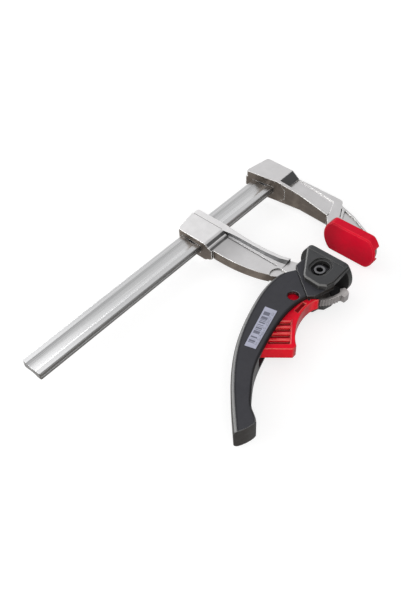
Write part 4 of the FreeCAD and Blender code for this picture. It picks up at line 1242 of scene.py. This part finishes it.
@dataclass
class Studio:
    """A pale floor, a white surround and soft lamps.

    Attributes:
        floor_half: half the floor's side, in metres.
        floor_gap: how far the floor lies under the clamp, in metres.
        surround: how strongly the surround lights the clamp.
        bright_way: the way to the surround's bright side, which polished surfaces show.
        bright_span: how far a way leans to the bright side where that starts and where it is full.
        shown: the surround's strength in polished surfaces, on its dim and on its bright side.
        floor_tone: how pale the floor is.
        floor_glow: how strongly it glows for rays that look at it.
        lamps: the soft lamps.
    """

    floor_half: float = 3.0
    floor_gap: float = 0.1 * MM
    surround: float = 0.60
    bright_way: tuple[float, float, float] = (0.36, 0.93, 0.0)
    bright_span: Span = (-0.45, 0.95)
    shown: Span = (0.30, 1.12)
    floor_tone: float = 0.42
    floor_glow: float = 0.69
    lamps: tuple[SoftLamp, ...] = (
        SoftLamp("window_lamp", (-0.35, 1.25, 1.00), (1.4, 1.4), 4.0),
        SoftLamp("strip_lamp", (-0.30, 1.60, 0.22), (1.8, 0.30), 9.0),
        SoftLamp("left_lamp", (-1.35, 0.75, 0.50), (0.6, 0.6), 7.0),
        SoftLamp("front_lamp", (-0.95, -1.00, 0.80), (1.1, 1.1), 8.0, (1.0, 0.985, 0.97)),
    )

    def build(self) -> None:
        """Builds the lamps, the surround and the floor."""
        low, high = CAD_BOX
        aim = (low + high) / 2.0
        for lamp in self.lamps:
            lamp.build(aim)
        self.build_surround()
        self.build_floor(low.z - self.floor_gap)
        bpy.context.scene.view_settings.view_transform = "Standard"
        log.info("studio with %d lamps", len(self.lamps))

    @staticmethod
    def looks(sheet: Sheet) -> tuple[Wire, Wire]:
        """Marks the camera's rays, and the glossy or transmission rays, among all rays."""
        path = sheet.place(Node.LIGHT_PATH).outputs
        mirrored = sheet.maths("MAXIMUM", path["Is Glossy Ray"], path["Is Transmission Ray"])
        return path["Is Camera Ray"], mirrored

    def build_surround(self) -> None:
        """Makes the white surround, which lights the clamp less than it shows."""
        world = bpy.data.worlds.new("white_surround")
        sheet = Sheet.of(world)
        camera, mirrored = self.looks(sheet)
        lean = sheet.lean(sheet.place(Node.COORDINATES).outputs["Generated"], self.bright_way)
        shown = sheet.between(lean, *self.bright_span, self.shown, False)
        more = sheet.times(mirrored, sheet.maths("SUBTRACT", shown, self.surround))
        strength = sheet.maths("MAXIMUM", sheet.maths("ADD", self.surround, more), camera)
        sky = sheet.place(Node.BACKGROUND, {"Color": (*WHITE, 1.0), "Strength": strength})
        sheet.place(Node.WORLD_OUTPUT, {"Surface": sky.outputs[0]})
        bpy.context.scene.world = world

    def build_floor(self, level: float) -> None:
        """Makes the pale floor, which keeps the clamp's soft shadow and is clear from below.

        Args:
            level: its height, in metres.
        """
        mesh = bmesh.new()
        half = self.floor_half
        corners = ((-half, -half), (half, -half), (half, half), (-half, half))
        mesh.faces.new([mesh.verts.new((*corner, level)) for corner in corners])
        paint = bpy.data.materials.new("pale_floor_paint")
        sheet = Sheet.of(paint)
        tone = (self.floor_tone, self.floor_tone, self.floor_tone, 1.0)
        matt = sheet.place(Node.DIFFUSE, {"Color": tone}).outputs[0]
        strength = sheet.times(sheet.maths("MAXIMUM", *self.looks(sheet)), self.floor_glow)
        glow = sheet.place(Node.EMISSION, {"Color": (*WHITE, 1.0), "Strength": strength}).outputs[0]
        bright = sheet.place(Node.ADD_SHADER, {0: matt, 1: glow}).outputs[0]
        clear = sheet.place(Node.TRANSPARENT).outputs[0]
        under = sheet.place(Node.GEOMETRY).outputs["Backfacing"]
        mixed = sheet.place(Node.MIX_SHADER, {0: under, 1: bright, 2: clear}).outputs[0]
        sheet.place(Node.MATERIAL_OUTPUT, {"Surface": mixed})
        put_mesh("pale_floor", mesh, paint)


def main() -> None:
    """Builds the camera, the studio and every sub-assembly of the clamp."""
    PhotoCamera().build()
    Studio().build()
    for part in (RailAndFixedJaw(), SlidingJaw(), LeverHandle(), ReleaseTrigger(), PressureHead()):
        part.build()
        log.info("%s is done", type(part).__name__)


if __name__ == "__main__":
    main()
